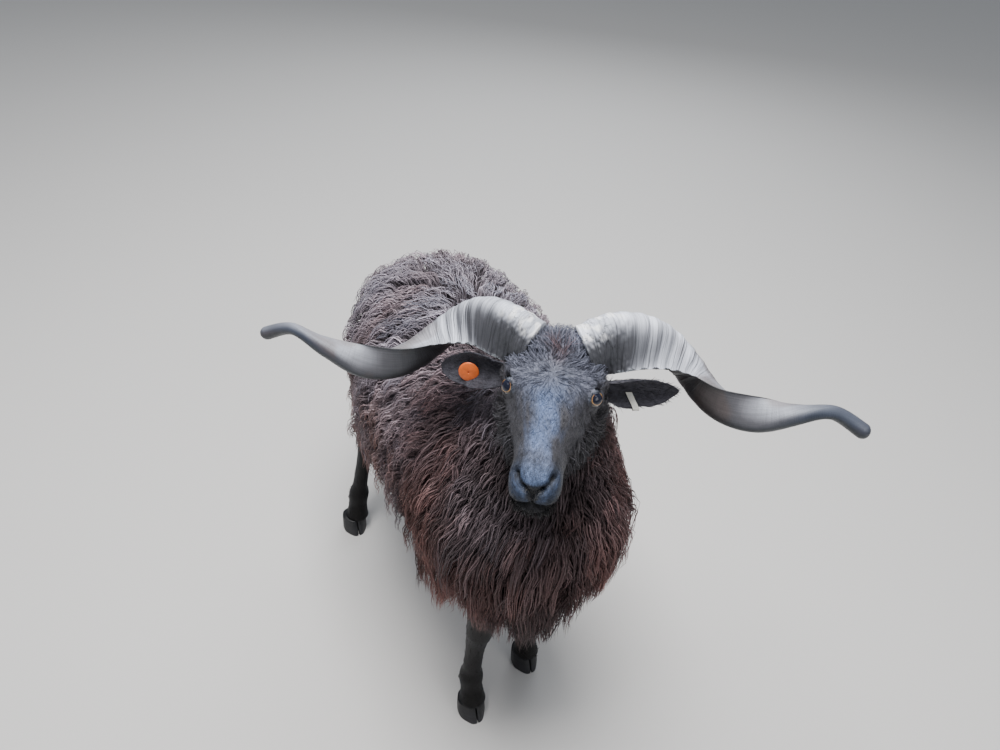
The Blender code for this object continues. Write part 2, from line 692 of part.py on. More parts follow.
def neck_rings(stations, sides, share):
    """The neck's rings from inside the torso to the back of the head."""
    f = np.linspace(0, 1, stations)
    centre = path_through([NECK_BASE, NECK_BEND, NECK_TOP], f)
    ahead = np.gradient(centre, axis=0)
    ahead /= np.linalg.norm(ahead, axis=1, keepdims=True)
    facing = HEAD_TURN * f
    front = np.stack([-np.sin(facing), -np.cos(facing), 0 * f], axis=1)
    front -= ahead * np.sum(front * ahead, axis=1, keepdims=True)
    front /= np.linalg.norm(front, axis=1, keepdims=True)
    left = np.cross(front, ahead)
    half, throat, nape = smooth_table(NECK, f).T
    coat = NECK_COAT * (1.05 - 0.65 * f) * smooth_step((1 - f) / 0.25) * share
    turn = 2 * np.pi * (np.arange(sides) + 0.5) / sides
    cos, sin = np.cos(turn)[None, :], np.sin(turn)[None, :]
    aside = (half + coat)[:, None] * cos
    forward = np.where(sin > 0, (throat + coat)[:, None], (nape + coat)[:, None]) * sin
    return centre[:, None] + aside[..., None] * left[:, None] + forward[..., None] * front[:, None]


def leg_rings(table, foot, top, sides, grow=0.0, lowest=0.0, stations=None):
    """A leg's level rings from its top down to the coronet."""
    rows = np.array(table)
    if stations:
        heights = np.linspace(rows[0, 0], rows[-1, 0], stations)
        back_first = rows[::-1]
        rows = np.column_stack([heights, smooth_table(back_first, heights)])
    rows = rows[rows[:, 0] >= lowest]
    turn = 2 * np.pi * (np.arange(sides) + 0.5) / sides
    rings = []
    for height, back, half, deep in rows:
        lift = height / table[0][0]
        x = foot[0] + (top[0] - foot[0]) * lift + (half + grow) * np.cos(turn)
        y = foot[1] + (top[1] - foot[1]) * lift + back + (deep + grow) * np.sin(turn)
        rings.append(np.stack([x, y, np.full(sides, height)], axis=1))
    return np.array(rings)


def claw_rings(foot, side):
    """One claw's level rings, flat on its inner face, from the sole to the coronet."""
    rings = []
    arc = np.linspace(0, np.pi, 7)
    for height, toe, heel, width in CLAW:
        middle, half = (toe + heel) / 2, (heel - toe) / 2
        y = middle - half * np.cos(arc)
        narrow = 1 - 0.30 * smooth_step((middle - y) / half)
        x = CLEFT_HALF + (width - CLEFT_HALF) * np.sin(arc) ** 0.7 * narrow
        inner_y = np.linspace(y[-1], y[0], 5)[1:-1]
        outline = list(zip(x, y)) + [(CLEFT_HALF, v) for v in inner_y]
        rings.append([(foot[0] + side * u, foot[1] + v, height) for u, v in outline])
    return np.array(rings)


def tail_rings(stations, sides, coat):
    f = np.linspace(0, 1, stations)
    centre = path_through(TAIL_POINTS, f)
    half, deep = smooth_table(TAIL, f).T
    ahead = np.gradient(centre, axis=0)
    ahead /= np.linalg.norm(ahead, axis=1, keepdims=True)
    left = np.array((1.0, 0.0, 0.0)) - ahead * ahead[:, :1]
    left /= np.linalg.norm(left, axis=1, keepdims=True)
    back = np.cross(left, ahead)
    turn = 2 * np.pi * (np.arange(sides) + 0.5) / sides
    cos, sin = np.cos(turn)[None, :, None], np.sin(turn)[None, :, None]
    thin = coat * np.sqrt(np.clip(1 - f**6, 0.05, 1))
    return (centre[:, None] + cos * (half + thin)[:, None, None] * left[:, None]
            + sin * (deep + thin)[:, None, None] * back[:, None])


def ball(name, centre, radius, slot, home, segments=14, rings=9):
    made = bmesh.new()
    bmesh.ops.create_uvsphere(made, u_segments=segments, v_segments=rings, radius=radius)
    bmesh.ops.triangulate(made, faces=made.faces)
    mesh = bpy.data.meshes.new(name)
    made.to_mesh(mesh)
    made.free()
    mesh.materials.append(material(slot))
    obj = bpy.data.objects.new(name, mesh)
    obj.location = centre
    home.objects.link(obj)
    return bake_place(obj)


def bake_place(obj):
    """Moves an object's place into its mesh."""
    bpy.context.view_layer.update()
    obj.data.transform(obj.matrix_world)
    obj.location = (0, 0, 0)
    return obj


def grown(obj, amount):
    """A copy of an object swollen a little along its normals, to cut a gap into its neighbour."""
    made = bmesh.new()
    made.from_mesh(obj.data)
    bmesh.ops.triangulate(made, faces=made.faces)
    for vertex in made.verts:
        vertex.co += vertex.normal * amount
    mesh = bpy.data.meshes.new(obj.name + "_grown")
    made.to_mesh(mesh)
    made.free()
    copy = bpy.data.objects.new(mesh.name, mesh)
    bpy.context.scene.collection.objects.link(copy)
    return copy


def copy_of(obj, name, home):
    made = bpy.data.objects.new(name, obj.data.copy())
    home.objects.link(made)
    return made


def side_of_plane(plane, home, gap=0.0):
    """A large box that fills everything beyond a plane, from a gap behind it."""
    point, way = plane
    one = unit(np.cross(way, (0.3, 0.1, 1.0)))
    two = np.cross(way, one)
    start = point - way * gap
    corners = []
    for depth in (0.0, PLANE_BOX):
        for u, v in ((-1, -1), (1, -1), (1, 1), (-1, 1)):
            corners.append(start + way * depth + one * u * PLANE_BOX + two * v * PLANE_BOX)
    faces = [(0, 1, 2, 3), (4, 5, 6, 7), (0, 1, 5, 4), (1, 2, 6, 5), (2, 3, 7, 6), (3, 0, 4, 7)]
    return mesh_object("cutter", corners, faces, "fleece", home)


def cylinder_rings(centre, way, profile, sides):
    """Rings about an axis, from rows of distance along it and radius."""
    one = unit(np.cross(way, (0.3, 0.1, 1.0)))
    two = np.cross(way, one)
    turn = 2 * np.pi * np.arange(sides) / sides
    round_way = np.cos(turn)[:, None] * one + np.sin(turn)[:, None] * two
    return np.array([centre + way * along + round_way * radius for along, radius in profile])


def build_disc_tag(ear, home):
    """A round tag with a small hole in its face, its pin through the ear and a round back."""
    point, out, _ = ear_spot(-1, DISC_SHARE, DISC_SWEEP)
    centre = in_world(point)
    way = unit(in_world(point + out) - centre)
    profile = [
        (DISC_LIFT + DISC_THICK - 0.0012, DISC_HOLE * 0.6),
        (DISC_LIFT + DISC_THICK, DISC_HOLE),
        (DISC_LIFT + DISC_THICK * 0.75, DISC_RADIUS * 0.80),
        (DISC_LIFT + DISC_THICK * 0.4, DISC_RADIUS),
        (DISC_LIFT, DISC_RADIUS * 0.97),
        (DISC_LIFT - 0.0008, PIN_RADIUS),
        (-BACK_LIFT, PIN_RADIUS),
        (-BACK_LIFT - 0.0010, BACK_RADIUS),
        (-BACK_LIFT - 0.0026, BACK_RADIUS * 0.9),
    ]
    loft("tag_round", cylinder_rings(centre, way, profile, 16), "tag_orange", home)
    hole = [(-0.02, PIN_RADIUS + GAP), (0.02, PIN_RADIUS + GAP)]
    combine(ear, [loft("hole", cylinder_rings(centre, way, hole, 16), "tag_orange", home)],
            "DIFFERENCE")


def build_strip_tag(home):
    """A strip folded over the lower edge of the left ear, its upper ends on both faces."""
    spots = []
    sweeps = np.linspace(STRIP_TOP, 0.86, 5)
    for face, order in ((1, sweeps), (-1, sweeps[::-1])):
        for sweep in order:
            point, out, along = ear_spot(1, STRIP_SHARE + STRIP_LEAN * sweep, sweep)
            lift = EAR_THICK / 2 + STRIP_CLEAR
            spots.append((point + out * face * lift, out * face, along))
        if face == 1:
            edge_share = STRIP_SHARE + STRIP_LEAN
            point, out, along = ear_spot(1, edge_share, 1.0)
            edge_way = unit(np.cross(along, out))
            edge_way *= np.sign(edge_way @ (point - ear_spot(1, edge_share, 0.5)[0]))
            for turn in (50.0, 0.0, -50.0):
                c, t = math.cos(math.radians(turn)), math.sin(math.radians(turn))
                way = unit(edge_way * c + out * t)
                spots.append((point + way * (EAR_THICK / 3 + STRIP_CLEAR), way, along))
    rings = []
    for point, out, along in spots:
        half = along * STRIP_WIDTH / 2
        rings.append([point - half, point + half, point + half + out * STRIP_THICK,
                      point - half + out * STRIP_THICK])
    loft("tag_strip", in_world(np.array(rings)), "tag_white", home)


def region_of(point, normal):
    """Which sizes the fleece has at a point of the core."""
    if point.y > TAIL_PLANE[0][1] - 0.004:
        return "tail"
    if (point - Vector(NECK_PLANE[0])).dot(Vector(NECK_PLANE[1])) > -0.02:
        return "neck"
    if point.y < CHEST_Y + 0.15 and point.z < 0.62 and normal.z < 0.6:
        return "chest"
    if normal.z < -0.45:
        return "belly"
    return "back" if normal.z > 0.45 else "flank"


def lie_at(point, normal, region):
    """The way the fleece falls at a point of the core."""
    side = -1.0 if point.x < (CHEST_SHIFT + RUMP_SHIFT) / 2 else 1.0
    fall = {
        "back": Vector((0.75 * side, 0.55, -0.6)),
        "flank": Vector((0.10 * side, 0.40, -1.0)),
        "belly": Vector((0.20 * side, 0.80, -0.4)),
        "chest": Vector((0.12 * side, 0.10, -1.0)),
        "neck": Vector((0.25 * side, 0.05, -1.0)),
        "tail": Vector((0.0, 0.10, -1.0)),
    }[region]
    fall -= normal * fall.dot(normal)
    return fall.normalized()


def coat_depth(point, normal, region):
    """How far the tips of the fleece reach beyond the core."""
    whole = {
        "back": BACK_COAT, "flank": SIDE_COAT, "belly": BELLY_COAT, "chest": CHEST_COAT,
        "neck": NECK_COAT, "tail": TAIL_COAT,
    }[region]
    return whole * (1 - CORE_SHARE)


def lock(tree, point, normal, region, chance, home):
    """One flat, tapered lock that bends along the core, with its root sunk in it."""
    length, width, thick, wave, sag = LOCK_SIZES[region]
    length *= chance.uniform(0.85, 1.2)
    width *= chance.uniform(0.85, 1.12)
    thick *= chance.uniform(0.9, 1.1)
    wave *= chance.choice((-1.0, 1.0)) * chance.uniform(0.5, 1.2)
    depth = coat_depth(point, normal, region) * chance.uniform(0.85, 1.15)
    turn = Matrix.Rotation(chance.uniform(-0.28, 0.28), 3, normal)
    way = (turn @ lie_at(point, normal, region)).normalized()
    place, before = point.copy(), 0.0
    rings = []
    for share, broad, deep, rise in LOCK_FORM + [LOCK_TIP[:1] + (0, 0) + LOCK_TIP[1:]]:
        step = (share - before) * length
        before = share
        if step:
            found = tree.find_nearest(place + way * step)
            place, normal = found[0], found[1]
            way = (way - normal * way.dot(normal)).normalized()
            fall = lie_at(place, normal, region)
            way = (way * 0.7 + fall * 0.3).normalized()
        across = normal.cross(way).normalized()
        middle = place + normal * (depth * rise - (LOCK_SINK if rise == 0 else thick / 2 * 0.6))
        middle += across * wave * math.sin(share * 4.2) + Vector((0, 0, -sag * length * share**2))
        if not broad:
            rings.append([middle])
            continue
        half, up = across * width * broad / 2, normal * thick * deep / 2
        rings.append([middle + half, middle + up, middle - half, middle - up])
    points = [p for ring in rings for p in ring]
    faces = [(3, 2, 1, 0)]
    for i in range(len(rings) - 2):
        for k in range(4):
            after = (k + 1) % 4
            faces.append((4 * i + k, 4 * i + after, 4 * i + 4 + after, 4 * i + 4 + k))
    last, tip = 4 * (len(rings) - 2), len(points) - 1
    faces += [(last + k, last + (k + 1) % 4, tip) for k in range(4)]
    return mesh_object("lock", points, faces, "fleece", home)


def scatter(core, chance):
    """Evenly spaced points of a closed mesh with their normals, in a fixed random order."""
    mesh = core.data
    areas = np.array([face.area for face in mesh.polygons])
    picks = chance.choices(range(len(areas)), weights=areas.tolist(), k=6000)
    kept = []
    for pick in picks:
        face = mesh.polygons[pick]
        a, b, c = [mesh.vertices[i].co for i in face.vertices[:3]]
        u, v = sorted((chance.random(), chance.random()))
        point = a * u + b * (v - u) + c * (1 - v)
        if all((point - other).length > LOCK_SPACING for other, _ in kept):
            kept.append((point, face.normal.copy()))
    return kept


def free_of_locks(point):
    """Places where the head, the legs' tops or the face leave no room for a lock."""
    near_head = (point - Vector(in_world((0.0, 0.03, -0.03)))).length < 0.092
    under = point.z < 0.36 and abs(point.x) < 0.03
    return near_head or under


def build_locks(core, home):
    chance = random.Random(SEED)
    graph = bpy.context.evaluated_depsgraph_get()
    tree = BVHTree.FromObject(core, graph)
    made = []
    for point, normal in scatter(core, chance):
        if not free_of_locks(point):
            region = region_of(point, normal)
            made.append(lock(tree, point, normal, region, chance, home))
    print(len(made), "locks")
    return made


def set_on_origin(home):
    """Moves the whole model so that the origin is the middle of its base."""
    corners = np.array([tuple(v.co) for obj in home.objects for v in obj.data.vertices])
    low, high = corners.min(0), corners.max(0)
    shift = Vector((-(low[0] + high[0]) / 2, -(low[1] + high[1]) / 2, -low[2]))
    print("moved by", tuple(shift))
    for obj in home.objects:
        obj.data.transform(Matrix.Translation(shift))


def build():
    clear_scene()
    home = collection("ram")
    body = loft("torso", barrel_rings(18, 16, CORE_SHARE), "fleece", home)
    neck = loft("neck_core", neck_rings(10, 14, CORE_SHARE), "fleece", home)
    tail = loft("tail_core", tail_rings(10, 10, TAIL_COAT), "fleece", home)
    combine(body, [neck, tail], "UNION")
    keep_largest(body)
    combine(body, build_locks(body, home), "UNION")
    keep_largest(body)
    neck, tail = copy_of(body, "neck", home), copy_of(body, "tail", home)
    combine(neck, [side_of_plane(NECK_PLANE, home)], "INTERSECT")
    combine(tail, [side_of_plane(TAIL_PLANE, home)], "INTERSECT")
    combine(body, [side_of_plane(NECK_PLANE, home, GAP), side_of_plane(TAIL_PLANE, home, GAP)],
            "DIFFERENCE")

    head = loft("head", in_world(head_grid(110, 96)), "face", home)
    thin = head.modifiers.new("fewer faces", "DECIMATE")
    thin.ratio = HEAD_FACES / len(head.data.polygons)
    bake(head)
    skull = [grown(head, GAP)]
    for side, name in ((1, "left"), (-1, "right")):
        horn = loft(f"horn_{name}", in_world(horn_grid(side, HORN_STATIONS, HORN_SIDES)),
                    "horn", home)
        combine(horn, [grown(head, GAP)], "DIFFERENCE")
        keep_largest(horn)
        ear = loft(f"ear_{name}", in_world(ear_grid(side, 10, 7)), "face", home)
        combine(ear, [grown(head, GAP), grown(horn, GAP)], "DIFFERENCE")
        keep_largest(ear)
        skull += [grown(horn, GAP), grown(ear, GAP)]
        centre = in_world(EYE_CENTRE * np.array((side, 1, 1)))
        ball(f"eye_{name}", centre, EYE_RADIUS, "eye", home)
        combine(head, [ball("socket", centre, EYE_RADIUS + GAP, "eye", home)], "DIFFERENCE")
        if side < 0:
            build_disc_tag(ear, home)
    build_strip_tag(home)
    combine(neck, skull, "DIFFERENCE")
    keep_largest(head)
    for name, (table, foot, top) in LEGS.items():
        leg = loft(f"leg_{name}", leg_rings(table, foot, top, 12), "face", home)
        combine(body, [grown(leg, GAP)], "DIFFERENCE")
        for side, which in ((1, "left"), (-1, "right")):
            loft(f"hoof_{name}_{which}", claw_rings(foot, side), "hoof", home)
    keep_largest(body)
    for obj in (body, neck, tail):
        keep_largest(obj)
    set_on_origin(home)


build()
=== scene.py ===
"""The looks of the standing ram: one skin, its fleece and short hair, horns, eyes, hooves and tags.

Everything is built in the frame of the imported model, in metres: the ram faces -Y, its left side is
on +X and its hooves stand on z = 0. The shape functions are those of the solids, sampled finely.
"""

import math

import bpy
import numpy as np
from mathutils import Matrix, Vector
from mathutils.bvhtree import BVHTree
from mathutils.kdtree import KDTree


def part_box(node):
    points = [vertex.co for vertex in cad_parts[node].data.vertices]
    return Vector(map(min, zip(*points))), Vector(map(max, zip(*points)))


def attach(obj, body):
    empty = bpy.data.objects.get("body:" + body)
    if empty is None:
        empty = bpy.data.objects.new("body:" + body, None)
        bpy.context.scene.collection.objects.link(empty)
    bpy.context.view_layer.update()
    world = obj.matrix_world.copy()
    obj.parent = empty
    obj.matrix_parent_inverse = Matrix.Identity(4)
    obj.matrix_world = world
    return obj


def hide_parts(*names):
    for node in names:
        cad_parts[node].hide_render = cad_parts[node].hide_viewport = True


def unit(vector):
    return np.asarray(vector, float) / np.linalg.norm(vector)


# Body sizes, the same as in the solids.
BODY_LENGTH = 0.72
CHEST_Y = -0.355
WITHERS = 0.685
BARREL_HALF = 0.150

# The share of the coat's depth at which the skin lies.
SKIN_SHARE = 0.08

# The coat's depth from the skin to the tips of the locks.
BACK_COAT = 0.058
SIDE_COAT = 0.057
BELLY_COAT = 0.070
CHEST_COAT = 0.074
NECK_COAT = 0.074

# Barrel: share of the body length, top and bottom as shares of the withers, half width as a share.
BARREL = [
    (0.00, 0.80, 0.70, 0.15),
    (0.03, 0.88, 0.62, 0.50),
    (0.12, 0.97, 0.52, 0.80),
    (0.22, 1.00, 0.475, 0.90),
    (0.40, 0.985, 0.455, 1.00),
    (0.58, 0.985, 0.465, 1.04),
    (0.74, 0.975, 0.51, 0.98),
    (0.86, 0.945, 0.57, 0.87),
    (0.96, 0.89, 0.66, 0.56),
    (1.00, 0.84, 0.74, 0.20),
]
BARREL_SQUARE = 2.15
CHEST_SHIFT = 0.014
RUMP_SHIFT = 0.038

# The point midway between the eyes, and how the head is turned.
EYES_MID = np.array((-0.0254, -0.3104, 0.8218))
HEAD_TURN = math.radians(36.0)
HEAD_TILT = math.radians(-2.0)
HEAD_LEAN = math.radians(-2.0)

# Head: distance back from the nose, then top, widest height, bottom, half width and squareness.
EYE_BACK = 0.165
HEAD = [
    (-0.0015, -0.0315, -0.0335, -0.0355, 0.0012, 2.0, 2.0),
    (0.000, -0.022, -0.033, -0.045, 0.009, 2.0, 2.0),
    (0.003, -0.011, -0.034, -0.054, 0.021, 2.1, 2.1),
    (0.011, -0.002, -0.035, -0.062, 0.030, 2.3, 2.2),
    (0.028, 0.005, -0.035, -0.067, 0.0340, 2.4, 2.2),
    (0.052, 0.011, -0.034, -0.068, 0.0335, 2.5, 2.1),
    (0.078, 0.017, -0.032, -0.074, 0.0365, 2.6, 2.0),
    (0.105, 0.022, -0.030, -0.083, 0.0435, 2.6, 2.0),
    (0.130, 0.027, -0.026, -0.094, 0.0515, 2.6, 2.0),
    (0.155, 0.031, -0.020, -0.107, 0.0590, 2.5, 2.0),
    (0.180, 0.035, -0.018, -0.118, 0.0620, 2.4, 2.0),
    (0.205, 0.038, -0.018, -0.122, 0.0605, 2.3, 2.0),
    (0.230, 0.036, -0.020, -0.115, 0.0560, 2.2, 2.0),
    (0.252, 0.026, -0.024, -0.098, 0.0470, 2.1, 2.0),
    (0.270, 0.006, -0.028, -0.072, 0.0310, 2.0, 2.0),
    (0.278, -0.014, -0.030, -0.048, 0.0120, 2.0, 2.0),
]

# Swellings and hollows of the face: side, distance back, height, reach and depth.
HEAD_FORMS = [
    ("brow", 0.056, 0.146, 0.020, 0.012, 0.0050),
    ("orbit behind the eye", 0.064, 0.188, 0.006, 0.013, 0.0085),
    ("orbit under the eye", 0.058, 0.158, -0.020, 0.011, 0.0030),
    ("tear hollow", 0.046, 0.126, -0.004, 0.011, -0.0045),
    ("facial crest", 0.046, 0.118, -0.042, 0.018, 0.0040),
    ("cheek", 0.048, 0.192, -0.072, 0.030, 0.0060),
    ("side of the nose", 0.031, 0.070, -0.008, 0.016, -0.0025),
    ("nostril wing", 0.026, 0.020, -0.010, 0.010, 0.0020),
    ("upper lip", 0.015, 0.004, -0.034, 0.009, 0.0042),
    ("lower lip", 0.009, 0.004, -0.056, 0.009, 0.0042),
    ("nose bridge", 0.000, 0.095, 0.022, 0.030, 0.0030),
    ("nose tip hollow", 0.000, 0.016, -0.004, 0.009, -0.0026),
    ("forehead", 0.000, 0.175, 0.036, 0.026, 0.0040),
    ("poll", 0.000, 0.212, 0.042, 0.026, 0.0180),
    ("ear base", 0.064, 0.205, -0.008, 0.016, 0.0110),
]

# Grooves of the face: their points as side, distance back and height, half width and depth.
HEAD_GROOVES = [
    ("nostril", [(0.0235, 0.018, -0.008), (0.0195, 0.011, -0.0125), (0.012, 0.004, -0.018)],
     0.0028, 0.0095),
    ("nostril slit", [(0.012, 0.004, -0.018), (0.0030, 0.001, -0.023)], 0.0022, 0.0050),
    ("lip cleft", [(0.0, 0.000, -0.023), (0.0, -0.0015, -0.033), (0.0, 0.0, -0.042)], 0.0016, 0.0042),
    ("mouth", [(0.0, -0.0004, -0.0425), (0.008, 0.0003, -0.0425), (0.013, 0.0018, -0.0430),
               (0.019, 0.0045, -0.0445), (0.025, 0.0090, -0.0465), (0.0305, 0.020, -0.048),
               (0.0325, 0.036, -0.0475), (0.033, 0.056, -0.045)], 0.0022, 0.0075),
]

# Eyes: centre in the head's frame, size, and the shape of the opening between the lids. Inside
# the opening the skin lies deeper than the eyeball.
EYE_CENTRE = np.array((0.0545, 0.0, 0.001))
EYE_RADIUS = 0.0158
EYE_LOOK = unit((0.66, -0.66, 0.36))
EYE_SLANT = 0.65
LID_HALF_LONG = 0.86
LID_HALF_UP = 0.74
LID_HALF_DOWN = 0.64
LID_THICK = 0.0022
LID_REACH = 1.45
LID_SINK = 0.0030

# Each side's horn: share of its length, distance to the side, axis up and away, spiral radius
# and turn in degrees, the keel's turn in degrees, and half width and thickness of its section.
HORN_UP = np.array((0.0, 0.628, 0.778))
HORN_AWAY = np.array((0.0, 0.778, -0.628))
HORNS = {
    1: [
        (0.00, 0.0355, 0.0470, 0.0592, 0.0416, -70.1, 166.5, 0.0387, 0.0266),
        (0.12, 0.0796, 0.0457, 0.0581, 0.0414, -31.8, 194.7, 0.0428, 0.0284),
        (0.28, 0.1293, 0.0435, 0.0568, 0.0412, 10.0, 221.4, 0.0407, 0.0275),
        (0.45, 0.1826, 0.0407, 0.0532, 0.0410, 61.2, 256.7, 0.0372, 0.0246),
        (0.60, 0.2301, 0.0358, 0.0500, 0.0314, 116.3, 291.0, 0.0339, 0.0233),
        (0.72, 0.2815, 0.0306, 0.0469, 0.0227, 160.6, 335.3, 0.0267, 0.0187),
        (0.84, 0.3282, 0.0284, 0.0438, 0.0138, 215.3, 397.0, 0.0167, 0.0131),
        (0.94, 0.3732, 0.0241, 0.0410, 0.0062, 290.5, 463.2, 0.0122, 0.0103),
        (1.00, 0.4292, 0.0125, 0.0405, -0.0099, 366.9, 517.4, 0.0120, 0.0112),
    ],
    -1: [
        (0.00, 0.0359, 0.0447, 0.0572, 0.0399, -66.8, 166.7, 0.0368, 0.0261),
        (0.12, 0.0790, 0.0439, 0.0561, 0.0392, -36.4, 189.6, 0.0403, 0.0277),
        (0.28, 0.1242, 0.0423, 0.0547, 0.0411, 11.8, 212.1, 0.0377, 0.0268),
        (0.45, 0.1805, 0.0400, 0.0511, 0.0410, 69.0, 245.8, 0.0352, 0.0242),
        (0.60, 0.2308, 0.0356, 0.0478, 0.0329, 124.5, 284.7, 0.0326, 0.0246),
        (0.72, 0.2816, 0.0309, 0.0447, 0.0264, 169.6, 329.3, 0.0256, 0.0203),
        (0.84, 0.3293, 0.0291, 0.0416, 0.0185, 228.1, 389.2, 0.0162, 0.0136),
        (0.94, 0.3781, 0.0251, 0.0387, 0.0163, 305.7, 454.2, 0.0114, 0.0091),
        (1.00, 0.4385, 0.0137, 0.0382, 0.0071, 389.5, 505.7, 0.0114, 0.0090),
    ],
}
HORN_ROUND = 0.990

# Ear: its root and direction in the head's frame, then half width and half angle of the cup.
EAR_ROOT = np.array((0.056, 0.040, -0.012))
EAR_AXIS = {1: unit((0.965, 0.235, -0.020)), -1: unit((0.950, 0.235, -0.150))}
EAR_OPENING = {1: (0.25, -0.92, 0.02), -1: (-0.20, -0.84, 0.42)}
EAR_LENGTH = 0.122
EAR_THICK = 0.0042
EAR_DROOP = 0.010
EAR = [
    (0.00, 0.0130, 88.0),
    (0.20, 0.0190, 84.0),
    (0.40, 0.0250, 68.0),
    (0.55, 0.0262, 56.0),
    (0.75, 0.0215, 46.0),
    (0.90, 0.0125, 38.0),
    (1.00, 0.0025, 30.0),
]

# Neck: share of its length, half width, reach to the throat and reach to the nape.
NECK_BASE = np.array((0.010, -0.190, 0.500))
NECK_BEND = np.array((0.012, -0.265, 0.660))
NECK_TOP = np.array((0.012, -0.262, 0.792))
NECK = [
    (0.00, 0.110, 0.130, 0.130),
    (0.25, 0.104, 0.118, 0.110),
    (0.50, 0.090, 0.098, 0.086),
    (0.75, 0.070, 0.078, 0.066),
    (0.92, 0.050, 0.062, 0.050),
    (1.00, 0.030, 0.040, 0.030),
]

# Ear tags: the disc on its pin, whose first rings tilt about a hinge, and the strip.
DISC_SHARE = 0.58
DISC_SWEEP = 0.14
DISC_RADIUS = 0.0150
DISC_THICK = 0.0028
DISC_HOLE = 0.0022
DISC_LIFT = 0.0075
DISC_RINGS = 11
HINGE_SINK = 0.0010
TAG_SIDES = 64
DISC_FACING = unit((-0.555, -0.800, 0.225))
PIN_RADIUS = 0.0030
BACK_RADIUS = 0.0120
BACK_LIFT = 0.0062
STRIP_SHARE = 0.375
STRIP_LEAN = 0.115
STRIP_TOP = 0.20
STRIP_WIDTH = 0.0092
STRIP_THICK = 0.0009
STRIP_CLEAR = 0.0009

# Legs: height, step back from the leg's line, half width and half depth.
FRONT_LEG = [
    (0.430, 0.020, 0.036, 0.055),
    (0.360, 0.012, 0.035, 0.048),
    (0.300, 0.004, 0.029, 0.036),
    (0.255, 0.000, 0.0245, 0.0285),
    (0.225, 0.000, 0.0240, 0.0265),
    (0.195, 0.004, 0.0200, 0.0225),
    (0.150, 0.006, 0.0172, 0.0185),
    (0.110, 0.006, 0.0175, 0.0190),
    (0.085, 0.005, 0.0230, 0.0240),
    (0.062, -0.001, 0.0212, 0.0215),
    (0.049, -0.007, 0.0225, 0.0235),
    (0.0363, -0.011, 0.0262, 0.0262),
]
HIND_LEG = [
    (0.450, -0.030, 0.044, 0.075),
    (0.385, -0.048, 0.042, 0.072),
    (0.335, -0.022, 0.035, 0.052),
    (0.290, 0.010, 0.0260, 0.036),
    (0.255, 0.032, 0.0225, 0.0320),
    (0.230, 0.032, 0.0210, 0.0270),
    (0.200, 0.025, 0.0175, 0.0210),
    (0.150, 0.018, 0.0155, 0.0185),
    (0.110, 0.011, 0.0165, 0.0192),
    (0.085, 0.006, 0.0230, 0.0240),
    (0.062, 0.000, 0.0212, 0.0215),
    (0.049, -0.006, 0.0225, 0.0235),
    (0.0363, -0.010, 0.0262, 0.0262),
]
LEGS = {
    "front_left": (FRONT_LEG, np.array((0.058, -0.215)), np.array((0.072, -0.225))),
    "front_right": (FRONT_LEG, np.array((-0.088, -0.270)), np.array((-0.058, -0.250))),
    "hind_left": (HIND_LEG, np.array((0.125, 0.292)), np.array((0.100, 0.280))),
    "hind_right": (HIND_LEG, np.array((-0.155, 0.265)), np.array((-0.050, 0.275))),
}
# Claw: height, toe, heel and outer width, from the leg's line.
CLAW = [
    (0.000, -0.047, 0.012, 0.0262),
    (0.005, -0.046, 0.013, 0.0272),
    (0.016, -0.042, 0.014, 0.0270),
    (0.027, -0.037, 0.015, 0.0264),
    (0.036, -0.033, 0.015, 0.0256),
]
CLEFT_HALF = 0.0016

# Tail: share of its length, half width and half depth, from its root down.
TAIL_POINTS = [np.array((0.030, 0.300, 0.590)), np.array((0.032, 0.435, 0.575)),
               np.array((0.034, 0.462, 0.450)), np.array((0.036, 0.445, 0.310))]
TAIL = [
    (0.00, 0.024, 0.020),
    (0.30, 0.026, 0.020),
    (0.60, 0.022, 0.017),
    (0.90, 0.014, 0.012),
    (1.00, 0.005, 0.005),
]

# The camera: place and aim, and the lens and sensor in millimetres.
CAMERA_PLACE = np.array((-0.501, -1.019, 1.520))
CAMERA_YAW = math.radians(29.0)
CAMERA_PITCH = math.radians(38.5)
CAMERA_ROLL = math.radians(5.4)
CAMERA_LENS = 29.12
SENSOR_WIDTH = 36.0

# The seed of the horns, the wool, the short hair and the lashes; drift takes seeds of its own.
SEED = 11


def smooth_table(table, at):
    """The rows of a table read at given stations, along a curve that never overshoots its rows."""
    rows = np.array(table, float)
    at = np.atleast_1d(np.asarray(at, float))
    x, y = rows[:, 0], rows[:, 1:]
    step = np.diff(x)[:, None]
    rise = np.diff(y, axis=0) / step
    slope = np.vstack([rise[:1], np.zeros_like(y[1:-1]), rise[-1:]])
    same_way = rise[1:] * rise[:-1] > 0
    total = np.where(same_way, rise[1:] + rise[:-1], 1.0)
    slope[1:-1] = np.where(same_way, 2 * rise[1:] * rise[:-1] / total, 0.0)
    i = np.clip(np.searchsorted(x, at) - 1, 0, len(x) - 2)
    h = step[i]
    t = (at - x[i])[:, None] / h
    return (
        (2 * t**3 - 3 * t**2 + 1) * y[i]
        + (t**3 - 2 * t**2 + t) * h * slope[i]
        + (3 * t**2 - 2 * t**3) * y[i + 1]
        + (t**3 - t**2) * h * slope[i + 1]
    )


def smooth_step(x):
    x = np.clip(x, 0.0, 1.0)
    return x * x * (3 - 2 * x)


def step_at(x):
    """A smooth step of one number."""
    return float(smooth_step(x))


def power(x, exponent):
    return np.sign(x) * np.abs(x) ** exponent


def normalised(vectors):
    return vectors / np.maximum(np.linalg.norm(vectors, axis=-1, keepdims=True), 1e-12)


def section_turns(sides):
    """The angles round a section, half a step off its axes."""
    return 2 * np.pi * (np.arange(sides) + 0.5) / sides


